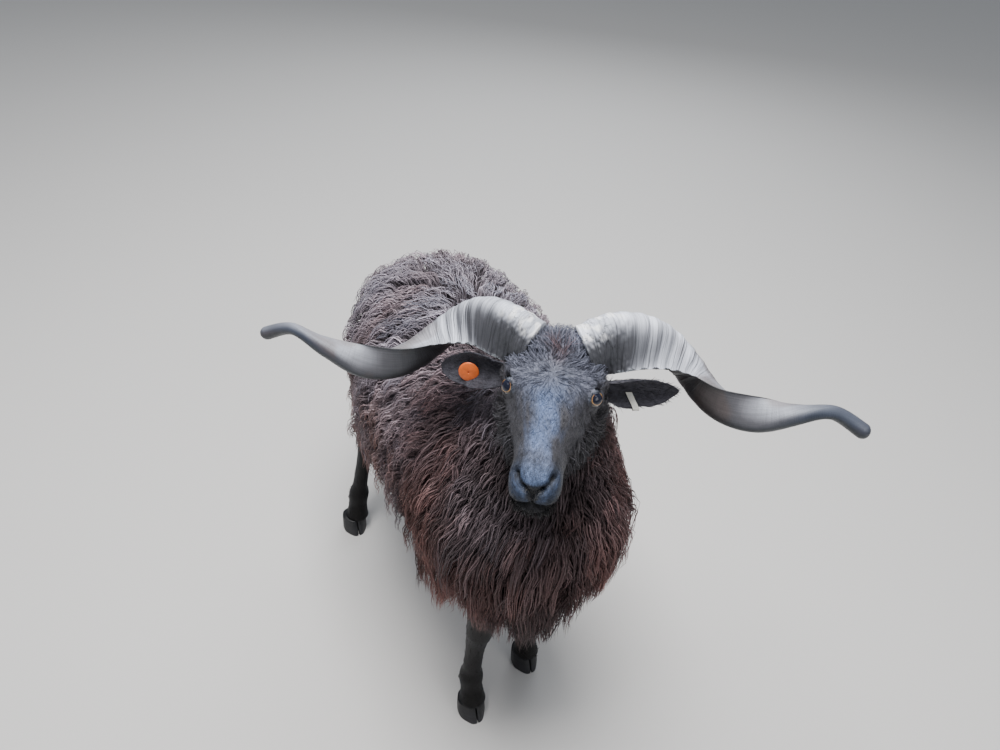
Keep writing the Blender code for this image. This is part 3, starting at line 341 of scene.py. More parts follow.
def path_through(points, shares):
    """Points of a quadratic or cubic Bezier curve at shares of its length parameter."""
    made = np.zeros((len(shares), 3))
    degree = len(points) - 1
    for i, point in enumerate(points):
        weight = math.comb(degree, i) * shares**i * (1 - shares) ** (degree - i)
        made += weight[:, None] * np.array(point)
    return made


def turned(axis, angle):
    """The matrix of a turn by an angle about the x, y or z axis."""
    one, two = [i for i in range(3) if i != axis]
    made = np.eye(3)
    made[one, one] = made[two, two] = math.cos(angle)
    made[one, two] = -math.sin(angle) if axis != 1 else math.sin(angle)
    made[two, one] = -made[one, two]
    return made


HEAD_FRAME = turned(2, -HEAD_TURN) @ turned(0, -HEAD_TILT) @ turned(1, HEAD_LEAN)


def in_world(points):
    """Points of the head's frame: x to the ram's left, y back along the head, z up from its face."""
    return np.asarray(points) @ HEAD_FRAME.T + EYES_MID


def in_head(points):
    """Points of the body's frame in the head's frame, with y as the distance back from the nose."""
    made = (np.asarray(points) - EYES_MID) @ HEAD_FRAME
    made[..., 1] += EYE_BACK
    return made


def grid_normals(grid):
    """Outward normals of a grid whose first axis runs along a body and second axis round it."""
    along = np.gradient(grid, axis=0)
    around = np.roll(grid, -1, axis=1) - np.roll(grid, 1, axis=1)
    return normalised(np.cross(along, around))


def distance_to_line(points, line):
    """The shortest distance from each point to a line through several points."""
    best = np.full(points.shape[:-1], 1e9)
    for a, b in zip(line[:-1], line[1:]):
        a, b = np.array(a), np.array(b)
        share = np.clip((points - a) @ (b - a) / ((b - a) @ (b - a)), 0, 1)
        best = np.minimum(best, np.linalg.norm(points - a - share[..., None] * (b - a), axis=-1))
    return best


def on_both_sides(line):
    mirror = [(-x, s, z) for x, s, z in line]
    return [line] if all(x == 0 for x, _, _ in line) else [line, mirror]


def eye_axes(side):
    """The eye's centre, its look, its long axis and its height axis, in the head's frame."""
    flip = np.array((side, 1, 1))
    centre, look = EYE_CENTRE * flip, EYE_LOOK * flip
    up = np.array((0.0, -EYE_SLANT, 1.0))
    up -= look * (up @ look)
    up /= np.linalg.norm(up)
    return centre, look, np.cross(up, look), up


def shape_lids(grid, side):
    """Draws the surface round an eye over the eyeball, with an almond opening between two lids."""
    centre, look, long, up = eye_axes(side)
    away = grid - centre
    reach = np.linalg.norm(away, axis=-1, keepdims=True)
    way = away / reach
    front = np.clip(way @ look, -1, 1)
    along = np.arctan2(way @ long, np.maximum(front, 1e-6))
    high = np.arctan2(way @ up, np.maximum(front, 1e-6))
    span = np.clip(1 - (along / LID_HALF_LONG) ** 2, 0, None)
    edge = np.where(high > 0, LID_HALF_UP * span**0.7, LID_HALF_DOWN * span**0.9)
    past = np.where(np.abs(along) < LID_HALF_LONG, np.abs(high) - edge,
                    np.hypot(np.abs(along) - LID_HALF_LONG, high))
    rim = smooth_step((past + 0.05) / 0.10)
    crease = 0.0016 * np.exp(-(((past - 0.36) / 0.09) ** 2))
    wanted = EYE_RADIUS - LID_SINK + (LID_SINK + LID_THICK) * rim - crease
    angle = np.arccos(front)
    share = smooth_step((LID_REACH - angle) / 0.55)
    share *= (reach[..., 0] < 3 * EYE_RADIUS)
    return grid + (centre + way * wanted[..., None] - grid) * share[..., None]


def head_base(stations, sides):
    """The head's plain surface, as rings from the nose to the nape, with y back from the nose."""
    nose, nape = HEAD[0][0], HEAD[-1][0]
    backs = nose + (nape - nose) * np.linspace(0, 1, stations) ** 1.45
    rows = smooth_table(HEAD, backs)
    top, wide, bottom, half, square_top, square_bottom = rows.T[:, :, None]
    turn = section_turns(sides)
    cos, sin = np.cos(turn)[None, :], np.sin(turn)[None, :]
    square = np.where(sin > 0, square_top, square_bottom)
    x = half * power(cos, 2 / square)
    z = wide + np.where(sin > 0, top - wide, wide - bottom) * power(sin, 2 / square)
    y = np.broadcast_to(backs[:, None], x.shape)
    return np.stack([x, y, z], axis=-1)


def groove_gap(grid, line):
    """The distance from each point to a groove's line on either side of the head."""
    return np.min([distance_to_line(grid, part) for part in on_both_sides(line)], axis=0)


def head_grid(stations, sides):
    """The head's surface in its own frame, with its swellings, grooves and lids."""
    grid = head_base(stations, sides)
    normal = grid_normals(grid)
    push = np.zeros(grid.shape[:2])
    for _, side, back, height, reach, depth in HEAD_FORMS:
        for sign in ((1, -1) if side else (1,)):
            gap = np.linalg.norm(grid - np.array((sign * side, back, height)), axis=-1)
            push += depth * np.exp(-((gap / reach) ** 2) / 2)
    for _, line, half_width, depth in HEAD_GROOVES:
        push -= depth * np.exp(-((groove_gap(grid, line) / half_width) ** 2) / 2)
    grid = grid + normal * push[..., None]
    grid[..., 1] -= EYE_BACK
    for side in (1, -1):
        grid = shape_lids(grid, side)
    return grid


def search_tree(points, picked):
    """A tree that finds the nearest of the picked points, by their own numbers."""
    tree = KDTree(len(picked))
    for i in picked:
        tree.insert(points[i], int(i))
    tree.balance()
    return tree


def groove_marks():
    """The front of the head's surface, with how dark and how wet its grooves make each point."""
    stations, sides = 200, 160
    base, grid = head_base(stations, sides), head_grid(stations, sides)
    dark, wet = np.zeros(grid.shape[:2]), np.zeros(grid.shape[:2])
    # Darkness: painted shade in the nostrils and along the mouth, and the dark wet skin of the slits,
    # the lip's cleft and the nose pad.
    for name, line, half_width, _ in HEAD_GROOVES:
        gap = groove_gap(base, line) / half_width
        spread = 1.9 if name in ("nostril slit", "lip cleft") else 1.35
        dark = np.maximum(dark, np.exp(-((gap / spread) ** 4)))
        if name in ("nostril slit", "lip cleft"):
            wet = np.maximum(wet, np.exp(-((gap / 2.2) ** 4)))
    half = 0.0040 + 0.80 * np.clip(base[..., 2] + 0.034, 0, 0.020)
    pad = np.exp(-((base[..., 0] / half) ** 4)) * smooth_step((-0.0085 - base[..., 2]) / 0.006)
    pad = pad * smooth_step((base[..., 2] + 0.038) / 0.004) * (base[..., 1] < 0.03)
    dark, wet = np.maximum(dark, 0.97 * pad), np.maximum(wet, pad)
    front = base[:, 0, 1] < 0.075
    grid, dark, wet = grid[front].reshape(-1, 3), dark[front].ravel(), wet[front].ravel()
    return search_tree(grid, range(len(grid))), dark, wet


def groove_values(points):
    """How dark and how wet the grooves make each point of the body's frame."""
    tree, dark, wet = GROOVE_MARKS
    own = in_head(points)
    own[..., 1] -= EYE_BACK
    made = np.zeros((len(own), 2))
    for i in np.nonzero(own[:, 1] + EYE_BACK < 0.070)[0]:
        _, found, gap = tree.find(Vector(own[i]))
        if gap < 0.008:
            made[i] = dark[found], wet[found]
    return made


def horn_shares(stations, rounds):
    """Shares of a horn's length: even along it, then close together round its blunt end."""
    turn = np.radians(np.linspace(0, 82, rounds + 1)[1:])
    end = HORN_ROUND + (1 - HORN_ROUND) * np.sin(turn)
    return np.append(np.linspace(0, HORN_ROUND, stations - rounds), end)


def horn_section(shares, half, thick, around):
    """A horn's section as offsets to its keel and to its faces.

    The keel is sharp along the middle of the horn, and the section is nearly round at its end.
    """
    sharp = (smooth_step(shares / 0.10) * smooth_step((0.86 - shares) / 0.16))[:, None]
    past = np.clip((shares - HORN_ROUND) / (1 - HORN_ROUND), 0, 1)
    dome = np.sqrt(1 - past**2)[:, None]
    cos, sin = np.cos(around)[None, :], np.sin(around)[None, :]
    drop = np.sin(around / 2)[None, :] ** (1.7 * sharp) * (1 + 0.42 * sharp)
    to_edge = half[:, None] * dome * cos
    to_face = thick[:, None] * dome * sin * drop * (1 - 0.20 * (1 - sharp) * cos)
    return to_edge, to_face


def horn_frames(side, shares):
    """A horn's centre line with its keel and side directions and its section's sizes."""
    out, up, away, radius, turn, keel, half, thick = smooth_table(HORNS[side], shares).T
    turn, keel = np.radians(turn), np.radians(keel)
    centre = np.stack([out, np.zeros_like(out), np.zeros_like(out)], axis=1)
    centre += np.outer(up + radius * np.cos(turn), HORN_UP)
    centre += np.outer(away + radius * np.sin(turn), HORN_AWAY)
    ahead = normalised(np.gradient(centre, axis=0))
    edge = np.outer(np.cos(keel), HORN_UP) + np.outer(np.sin(keel), HORN_AWAY)
    edge -= ahead * np.sum(edge * ahead, axis=1, keepdims=True)
    edge = normalised(edge)
    return centre, edge, np.cross(ahead, edge), half, thick


def ear_axes(side):
    """Across and out of an ear's cup, and along it, in the head's frame."""
    flip = np.array((side, 1, 1))
    along = np.array(EAR_AXIS[side]) * flip
    opening = np.array(EAR_OPENING[side])
    opening -= along * (opening @ along)
    opening /= np.linalg.norm(opening)
    across = np.cross(along, opening) * side
    return along, across, opening


def ear_centre(side, along, share):
    """The bottom of an ear's cup at a share of its length; the ear droops to its tip."""
    root = EAR_ROOT * np.array((side, 1, 1))
    return root + along * EAR_LENGTH * share + np.array((0.0, 0.0, -EAR_DROOP * share**2))


def ear_grid(side, stations, sides):
    """An ear's surface in the head's frame: closed crescent sections round a leaf-shaped cup."""
    shares = np.linspace(0, 1, stations)
    half, angle = smooth_table(EAR, shares).T
    angle = np.radians(angle)
    radius = half / np.sin(angle)
    along, across, opening = ear_axes(side)
    sweep = np.linspace(-1, 1, sides)
    rings = []
    for share, r, a in zip(shares, radius, angle):
        centre = ear_centre(side, along, share)
        thick = EAR_THICK * (1 - 0.5 * share) * np.sqrt(1 - 0.75 * sweep**2) / 2
        turn = sweep * a
        back, front = r + thick, r - thick
        outer = np.outer(back * np.sin(turn), across) + np.outer(r - back * np.cos(turn), opening)
        inner = np.outer(front * np.sin(turn), across) + np.outer(r - front * np.cos(turn), opening)
        rings.append(np.vstack([centre + outer, centre + inner[::-1]]))
    return np.array(rings)


def ear_spot(side, share, sweep):
    """A point of the ear's cup, with its normals out of the cup and its direction to the tip."""
    half, angle = smooth_table(EAR, [share])[0]
    angle = math.radians(angle)
    radius = half / math.sin(angle)
    along, across, opening = ear_axes(side)
    centre = ear_centre(side, along, share)
    turn = sweep * angle
    point = centre + across * radius * math.sin(turn) + opening * radius * (1 - math.cos(turn))
    normal = opening * math.cos(turn) - across * math.sin(turn)
    return point, normal, along


def barrel_rings(stations, sides, share):
    """The torso's rings, out to a share of the coat's depth."""
    f = 0.5 - 0.5 * np.cos(np.pi * np.linspace(0, 1, stations))
    top, bottom, half = smooth_table(BARREL, f).T
    top, bottom, half = top * WITHERS, bottom * WITHERS, half * BARREL_HALF
    chest = smooth_step((0.30 - f) / 0.30)
    over = BACK_COAT * share
    aside = (SIDE_COAT + (CHEST_COAT - SIDE_COAT) * chest) * share
    under = (BELLY_COAT + (CHEST_COAT - BELLY_COAT) * chest) * share
    ends = 2 * f - 1
    y = CHEST_Y + f * BODY_LENGTH + SIDE_COAT * share * power(ends, 5.0)
    middle = (top + bottom) / 2
    turn = section_turns(sides)
    cos, sin = np.cos(turn)[None, :], np.sin(turn)[None, :]
    x = (half + aside)[:, None] * power(cos, 2 / BARREL_SQUARE)
    x = x + (CHEST_SHIFT + (RUMP_SHIFT - CHEST_SHIFT) * f)[:, None]
    rise = np.where(sin > 0, (top - middle + over)[:, None], (middle - bottom + under)[:, None])
    z = middle[:, None] + rise * power(sin, 2 / BARREL_SQUARE)
    return np.stack([x, np.broadcast_to(y[:, None], x.shape), z], axis=-1)


def neck_rings(stations, sides, share):
    """The neck's rings from inside the torso to the back of the head."""
    f = np.linspace(0, 1, stations)
    centre = path_through([NECK_BASE, NECK_BEND, NECK_TOP], f)
    ahead = normalised(np.gradient(centre, axis=0))
    facing = HEAD_TURN * f
    front = np.stack([-np.sin(facing), -np.cos(facing), 0 * f], axis=1)
    front -= ahead * np.sum(front * ahead, axis=1, keepdims=True)
    front = normalised(front)
    left = np.cross(front, ahead)
    half, throat, nape = smooth_table(NECK, f).T
    coat = neck_depth(f) * share
    turn = section_turns(sides)
    cos, sin = np.cos(turn)[None, :], np.sin(turn)[None, :]
    aside = (half + coat)[:, None] * cos
    forward = np.where(sin > 0, (throat + coat)[:, None], (nape + coat)[:, None]) * sin
    return centre[:, None] + aside[..., None] * left[:, None] + forward[..., None] * front[:, None]


def neck_depth(f):
    """The depth of the neck's coat at shares of the neck's length."""
    return NECK_COAT * (1.05 - 0.65 * f) * smooth_step((1 - f) / 0.25)


def leg_line(table, foot, top, height):
    """Where the straight line from a leg's foot to its top passes a height."""
    return foot + (top - foot) * (height / table[0][0])


def leg_rings(table, foot, top, stations, sides):
    """A leg's level rings from its top down to the coronet."""
    rows = np.array(table)
    heights = np.linspace(rows[0, 0], rows[-1, 0], stations)
    rows = np.column_stack([heights, smooth_table(rows[::-1], heights)])
    turn = section_turns(sides)
    rings = []
    for height, back, half, deep in rows:
        x, y = leg_line(table, foot, top, height)
        x, y = x + half * np.cos(turn), y + back + deep * np.sin(turn)
        rings.append(np.stack([x, y, np.full(sides, height)], axis=1))
    return np.array(rings)


def claw_rings(foot, side, levels, points):
    """One claw's level rings, flat on its inner face, from the sole to the coronet."""
    rings = []
    arc = np.linspace(0, np.pi, points)
    heights = np.linspace(CLAW[0][0], CLAW[-1][0], levels)
    for height, (toe, heel, width) in zip(heights, smooth_table(CLAW, heights)):
        middle, half = (toe + heel) / 2, (heel - toe) / 2
        y = middle - half * np.cos(arc)
        narrow = 1 - 0.30 * smooth_step((middle - y) / half)
        x = CLEFT_HALF + (width - CLEFT_HALF) * np.sin(arc) ** 0.7 * narrow
        inner_y = np.linspace(y[-1], y[0], 8)[1:-1]
        outline = list(zip(x, y)) + [(CLEFT_HALF, v) for v in inner_y]
        rings.append([(foot[0] + side * u, foot[1] + v, height) for u, v in outline])
    return np.array(rings)


def tail_rings(stations, sides, coat):
    f = np.linspace(0, 1, stations)
    centre = path_through(TAIL_POINTS, f)
    half, deep = smooth_table(TAIL, f).T
    ahead = normalised(np.gradient(centre, axis=0))
    left = normalised(np.array((1.0, 0.0, 0.0)) - ahead * ahead[:, :1])
    back = np.cross(left, ahead)
    turn = section_turns(sides)
    cos, sin = np.cos(turn)[None, :, None], np.sin(turn)[None, :, None]
    thin = coat * np.sqrt(np.clip(1 - f**6, 0.05, 1))
    return (centre[:, None] + cos * (half + thin)[:, None, None] * left[:, None]
            + sin * (deep + thin)[:, None, None] * back[:, None])


def cylinder_rings(centre, way, profile, sides):
    """Rings about an axis, from rows of distance along it and radius."""
    one = unit(np.cross(way, (0.3, 0.1, 1.0)))
    two = np.cross(way, one)
    turn = 2 * np.pi * np.arange(sides) / sides
    round_way = np.cos(turn)[:, None] * one + np.sin(turn)[:, None] * two
    return np.array([centre + way * along + round_way * radius for along, radius in profile])


def mesh_from_arrays(name, points, triangles, smooth=True):
    """A mesh made quickly from arrays of points and of triangles."""
    mesh = bpy.data.meshes.new(name)
    mesh.vertices.add(len(points))
    mesh.vertices.foreach_set("co", np.asarray(points, np.float32).ravel())
    mesh.loops.add(triangles.size)
    mesh.loops.foreach_set("vertex_index", triangles.astype(np.int32).ravel())
    mesh.polygons.add(len(triangles))
    starts = np.arange(0, triangles.size, 3, dtype=np.int32)
    mesh.polygons.foreach_set("loop_start", starts)
    mesh.polygons.foreach_set("use_smooth", np.full(len(triangles), smooth))
    mesh.update()
    mesh.validate()
    return mesh


def grid_triangles(count, sides):
    """The triangles of a closed body through rings, with a fan at each end."""
    i, k = np.meshgrid(np.arange(count - 1), np.arange(sides), indexing="ij")
    after = (k + 1) % sides
    a, b = i * sides + k, i * sides + after
    c, d = (i + 1) * sides + after, (i + 1) * sides + k
    body = np.stack([a, b, c, a, c, d], axis=-1).reshape(-1, 3)
    around = np.arange(sides)
    after = (around + 1) % sides
    last = (count - 1) * sides
    start = np.stack([np.full(sides, count * sides), after, around], axis=1)
    end = np.stack([np.full(sides, count * sides + 1), last + around, last + after], axis=1)
    return np.vstack([body, start, end])


def signed_volume(points, triangles):
    a, b, c = [points[triangles[:, i]] for i in range(3)]
    return np.einsum("ij,ij->i", a, np.cross(b, c)).sum() / 6


def loft_arrays(rings):
    rings = np.asarray(rings, float)
    count, sides = rings.shape[:2]
    points = np.vstack([rings.reshape(-1, 3), rings[0].mean(0), rings[-1].mean(0)])
    triangles = grid_triangles(count, sides)
    if signed_volume(points, triangles) < 0:
        triangles = triangles[:, ::-1]
    return points, triangles


def add_object(name, mesh, material):
    obj = bpy.data.objects.new(name, mesh)
    bpy.context.scene.collection.objects.link(obj)
    if material:
        mesh.materials.append(material)
    return obj


def set_attribute(mesh, name, kind, values):
    found = mesh.attributes.new(name, kind, "POINT")
    key = {"FLOAT": "value", "FLOAT_VECTOR": "vector", "FLOAT_COLOR": "color"}[kind]
    found.data.foreach_set(key, np.asarray(values, np.float32).ravel())


def with_alpha(colours):
    return np.concatenate([colours, np.ones(colours.shape[:-1] + (1,))], axis=-1)


def read_rows(items, key, kind, width):
    """One value of every item of a mesh, as an array with a row for each."""
    made = np.empty(len(items) * width, kind)
    items.foreach_get(key, made)
    return made.reshape(-1, width)


def points_of(mesh):
    return read_rows(mesh.vertices, "co", np.float32, 3).astype(float)


def normals_of(mesh):
    return read_rows(mesh.vertices, "normal", np.float32, 3).astype(float)


# Colours, in linear values.
BACK_DARK = np.array((0.165, 0.142, 0.162))
BACK_COOL = np.array((0.400, 0.400, 0.490))
BACK_WARM = np.array((0.345, 0.250, 0.272))
FLANK_BROWN = np.array((0.255, 0.145, 0.125))
CHEST_DARK = np.array((0.0210, 0.0120, 0.0120))
CHEST_RED = np.array((0.225, 0.110, 0.098))
CHEST_BLACK = np.array((0.070, 0.046, 0.048))
CHEEK_DARK = np.array((0.0090, 0.0070, 0.0074))
CHEEK_TIP = np.array((0.060, 0.042, 0.044))
FACE_BLACK = np.array((0.0440, 0.0430, 0.0490))
# Painted sheen: the blue-grey of the sky's reflection on the short black hair of the nose bridge.
BRIDGE_SHEEN_GREY = np.array((0.088, 0.130, 0.245))
# The chin's dark hair, made darker still by painted shade under the muzzle.
CHIN_BLACK = np.array((0.0140, 0.0140, 0.0170))
LIP_GREY = np.array((0.046, 0.066, 0.118))
NOSE_BLACK = np.array((0.0022, 0.0022, 0.0028))
POLL_RED = np.array((0.105, 0.050, 0.046))
# Painted sheen: the blue-grey of the sky's reflection on the hair of the forehead and the poll.
POLL_SHEEN_GREY = np.array((0.135, 0.144, 0.190))
# Painted highlight: the pale blue-grey on the fold above each upper lid.
LID_HIGHLIGHT = np.array((0.110, 0.128, 0.168))
EAR_BLACK = np.array((0.040, 0.0390, 0.0490))
LEG_BLACK = np.array((0.0036, 0.0028, 0.0027))

WHITE = (1.0, 1.0, 1.0)
TAG_ORANGE = (0.66, 0.125, 0.016)
TAG_PALE = (0.62, 0.61, 0.56)

# The skin's tone beside the roots of the wool that grows on it.
SKIN_TONE = 1.2

# The place of the dark stripe down the chest: this far to the left, so here to the right.
DARK_MIDDLE = -0.015


def mix(one, two, share):
    share = np.asarray(share)[..., None]
    return one * (1 - share) + two * share


def chest_share(points):
    """How far a place has the dark reddish wool of the chest and neck, from 0 to 1."""
    y, z = points[..., 1], points[..., 2]
    front = smooth_step((-0.02 - y) / 0.15)
    low = smooth_step((0.60 - z) / 0.15)
    high = smooth_step((z - 0.66) / 0.10) * smooth_step((y + 0.30) / 0.10)
    return np.clip(front * (0.85 + 0.15 * low) * (1 - 0.75 * high) + 0.25 * low, 0, 1)


def drift(points, size, seed):
    """A smooth random value from about -1 to 1 that changes over a given distance."""
    chance = np.random.default_rng(seed)
    made = np.zeros(points.shape[:-1])
    for _ in range(7):
        way = unit(chance.normal(0, 1, 3))
        turns = points @ way / (size * chance.uniform(0.7, 1.6)) + chance.random()
        made += np.cos(turns * 2 * np.pi)
    return np.clip(made / 3.2, -1, 1)


def near_face(points):
    """How close a place is to the sides and the underside of the head, from 0 to 1."""
    x, back, z = np.moveaxis(in_head(points), -1, 0)
    beside = np.clip(np.abs(x) - 0.055, 0, None)
    under = np.clip(-0.100 - z, 0, None)
    behind = np.clip(back - 0.205, 0, None)
    close = np.exp(-((np.hypot(np.hypot(beside, under), behind) / 0.038) ** 2))
    return close * (1 - 0.75 * smooth_step((back - 0.125) / 0.05))


def wool_colours(points):
    """The wool's colour near the skin and at its tips, at given places."""
    share = chest_share(points)
    tone = drift(points, 0.16, 3) + 0.55 * drift(points, 0.055, 4)
    x, y, z = points[..., 0], points[..., 1], points[..., 2]
    back = mix(BACK_COOL, BACK_WARM, np.clip(0.40 + 0.32 * tone, 0, 1))
    back = mix(back, FLANK_BROWN, np.clip(smooth_step((0.66 - z) / 0.14) * 0.8 + 0.25 * tone, 0, 1))
    middle = np.exp(-(((x - DARK_MIDDLE) / 0.065) ** 2)) * smooth_step((-0.16 - y) / 0.08)
    dark = np.clip(0.90 * middle - 0.45 * tone + 0.16, 0, 1)
    chest = mix(CHEST_RED, CHEST_BLACK, dark)
    root = mix(BACK_DARK, CHEST_DARK, share)
    tip = mix(back, chest, share)
    # Painted light: the wool high on the neck and the front of the back, and on the chest's left side,
    # made lighter.
    high = smooth_step((z - 0.50) / 0.10) * smooth_step((-0.06 - y) / 0.12)
    left = smooth_step((x - 0.03) / 0.07) * share
    lift = (1 + 0.70 * high * (1 - share) + 0.22 * left)[..., None]
    root, tip = root * lift, tip * lift
    close = near_face(points)
    return mix(root, CHEEK_DARK, close), mix(tip, CHEEK_TIP, close)


def face_colours(points):
    """The colour of the short hair of the head at given places."""
    x, back, z = np.moveaxis(in_head(points), -1, 0)
    # Painted sheen down the top of the nose bridge, wider and weaker at the forehead, weaker near the
    # nose.
    streak = drift(np.stack([x, back * 0.25, z], axis=-1), 0.012, 8)
    reach = 0.0160 + 0.013 * smooth_step((back - 0.085) / 0.07) + 0.0045 * streak
    middle = np.exp(-((np.abs(x + 0.0015) / reach) ** 2.4))
    above = smooth_step((z + 0.015) / 0.025)
    fading = 1 - 0.40 * smooth_step((back - 0.10) / 0.05) - 0.72 * smooth_step((0.062 - back) / 0.04)
    bridge = middle * above * smooth_step((0.178 - back) / 0.05) * fading * (0.80 + 0.20 * streak)
    lips = smooth_step((0.042 - back) / 0.03) * smooth_step((z + 0.049) / 0.022) * 0.95
    red = np.exp(-(((x - 0.003) / 0.009) ** 2) - (((back - 0.188) / 0.011) ** 2))
    # Painted sheen over the forehead and the poll.
    poll = smooth_step((back - 0.120) / 0.04) * smooth_step((z - 0.005) / 0.02)
    made = mix(mix(FACE_BLACK, LIP_GREY, lips), POLL_SHEEN_GREY, poll)
    made = mix(mix(made, BRIDGE_SHEEN_GREY, bridge), POLL_RED, 0.75 * red * smooth_step(z / 0.03))
    whorl = np.exp(-(((back - WHORL_BACK) / 0.022) ** 2) - (x / 0.040) ** 2)
    made = made * (1 - 0.48 * whorl * smooth_step(z / 0.02))[..., None]
    # Painted highlight on the fold above each upper lid.
    for side in (1, -1):
        centre, look, _, up = eye_axes(side)
        away = np.stack([x, back - EYE_BACK, z], axis=-1) - centre
        reach = np.linalg.norm(away, axis=-1)
        high = away @ up / np.maximum(reach, 1e-6)
        lid = np.exp(-(((high - 0.58) / 0.17) ** 2)) * smooth_step((away @ look) / 0.006)
        made = mix(made, LID_HIGHLIGHT, 0.8 * lid * smooth_step((1.32 * EYE_RADIUS - reach) / 0.004))
    muzzle = smooth_step((0.060 - back) / 0.03)
    # Darker under the mouth: the chin's dark hair and painted shade under the muzzle.
    chin = smooth_step((-0.042 - z) / 0.008) * smooth_step((0.10 - back) / 0.04)
    made = mix(made, CHIN_BLACK, 0.9 * chin)
    own = np.stack([x, back * 0.6, z], axis=-1)
    mottle = 0.6 * drift(own, 0.0060, 41) + 0.6 * drift(own, 0.0032, 42) + 0.5 * drift(own, 0.020, 43)
    made = made * (1 + (0.16 + 0.34 * muzzle) * np.clip(mottle, -1, 1))[..., None]
    # Painted shade: the muzzle darker towards its bottom and towards its sides.
    made = made * (1 - 0.42 * muzzle * smooth_step((-0.016 - z) / 0.022))[..., None]
    made = made * (1 - 0.48 * muzzle * smooth_step((np.abs(x) - 0.010) / 0.012))[..., None]
    # Painted shade in the nostrils and the mouth, and the dark wet skin of the nose pad.
    return mix(made, NOSE_BLACK, groove_values(points)[:, 0])


# How dark and how wet the grooves make the front of the head.
GROOVE_MARKS = groove_marks()


# The parts of the one skin over the whole body.
SKIN_PARTS = ["torso", "neck", "tail", "head", "ear_left", "ear_right"]
SKIN_PARTS += [f"leg_{name}" for name in LEGS]
# Stations along and sides round each part.
SKIN_FINE = {"torso": (64, 72), "neck": (40, 56), "tail": (30, 20), "head": (270, 230),
             "ear": (56, 30), "leg": (90, 36)}
# How much thicker the tail's skin is than its table, and how far and how often seams are smoothed.
TAIL_SKIN = 0.002
SEAM_REACH = {"ear_left": 0.012, "ear_right": 0.012, "head": 0.018}
SEAM_ROUNDS = 14
# The way round a leg and round the head, for the streaks of the short hair.
LEG_GIRTH = 0.14
HEAD_GIRTH = 0.36


def skin_rings():
    """The rings of each part of the body, in the body's frame."""
    rings = {
        "torso": barrel_rings(*SKIN_FINE["torso"], SKIN_SHARE),
        "neck": neck_rings(*SKIN_FINE["neck"], SKIN_SHARE),
        "tail": tail_rings(*SKIN_FINE["tail"], TAIL_SKIN),
        "head": in_world(head_grid(*SKIN_FINE["head"])),
        "ear_left": in_world(ear_grid(1, *SKIN_FINE["ear"])),
        "ear_right": in_world(ear_grid(-1, *SKIN_FINE["ear"])),
    }
    for name, (table, foot, top) in LEGS.items():
        rings[f"leg_{name}"] = leg_rings(table, foot, top, *SKIN_FINE["leg"])
    return {name: grid + MOVE for name, grid in rings.items()}


def rows_of_keys(points):
    """One whole number for each point, the same for points that coincide."""
    cells = np.round(points * 1e5).astype(np.int64) + 2**20
    return (cells[:, 0] << 42) | (cells[:, 1] << 21) | cells[:, 2]


def union_of(parts):
    """The union of closed bodies, given as rows of points and triangles."""
    objects = []
    for name, (points, triangles) in parts.items():
        objects.append(add_object(f"part_{name}", mesh_from_arrays(name, points, triangles), None))
    first = objects[0]
    tools = bpy.data.collections.new("tools")
    bpy.context.scene.collection.children.link(tools)
    for obj in objects[1:]:
        bpy.context.scene.collection.objects.unlink(obj)
        tools.objects.link(obj)
    modifier = first.modifiers.new("union", "BOOLEAN")
    modifier.operation = "UNION"
    modifier.operand_type = "COLLECTION"
    modifier.collection = tools
    modifier.solver = "MANIFOLD"
    bpy.context.view_layer.update()
    graph = bpy.context.evaluated_depsgraph_get()
    mesh = bpy.data.meshes.new_from_object(first.evaluated_get(graph))
    for obj in objects:
        bpy.data.objects.remove(obj, do_unlink=True)
    bpy.data.collections.remove(tools)
    return mesh


def smooth_points(points, edges, weight, rounds):
    """Moves points towards their neighbours' mean, by a weight of their own."""
    count = len(points)
    degree = np.bincount(edges.ravel(), minlength=count)[:, None]
    for _ in range(rounds):
        total = np.zeros_like(points)
        for axis in range(3):
            total[:, axis] = (
                np.bincount(edges[:, 0], points[edges[:, 1], axis], minlength=count)
                + np.bincount(edges[:, 1], points[edges[:, 0], axis], minlength=count)
            )
        points = points + (total / np.maximum(degree, 1) - points) * weight[:, None]
    return points


def edges_of(mesh):
    return read_rows(mesh.edges, "vertices", np.int32, 2)


def triangles_of(mesh):
    mesh.calc_loop_triangles()
    return read_rows(mesh.loop_triangles, "vertices", np.int32, 3)


def grid_places(rings):
    """The share round and along a body of each point of a loft."""
    count, sides = rings.shape[:2]
    along, around = np.meshgrid(np.linspace(0, 1, count), np.arange(sides) / sides, indexing="ij")
    places = np.stack([around, along], axis=-1).reshape(-1, 2)
    return np.vstack([places, [[0.5, 0.0], [0.5, 1.0]]])


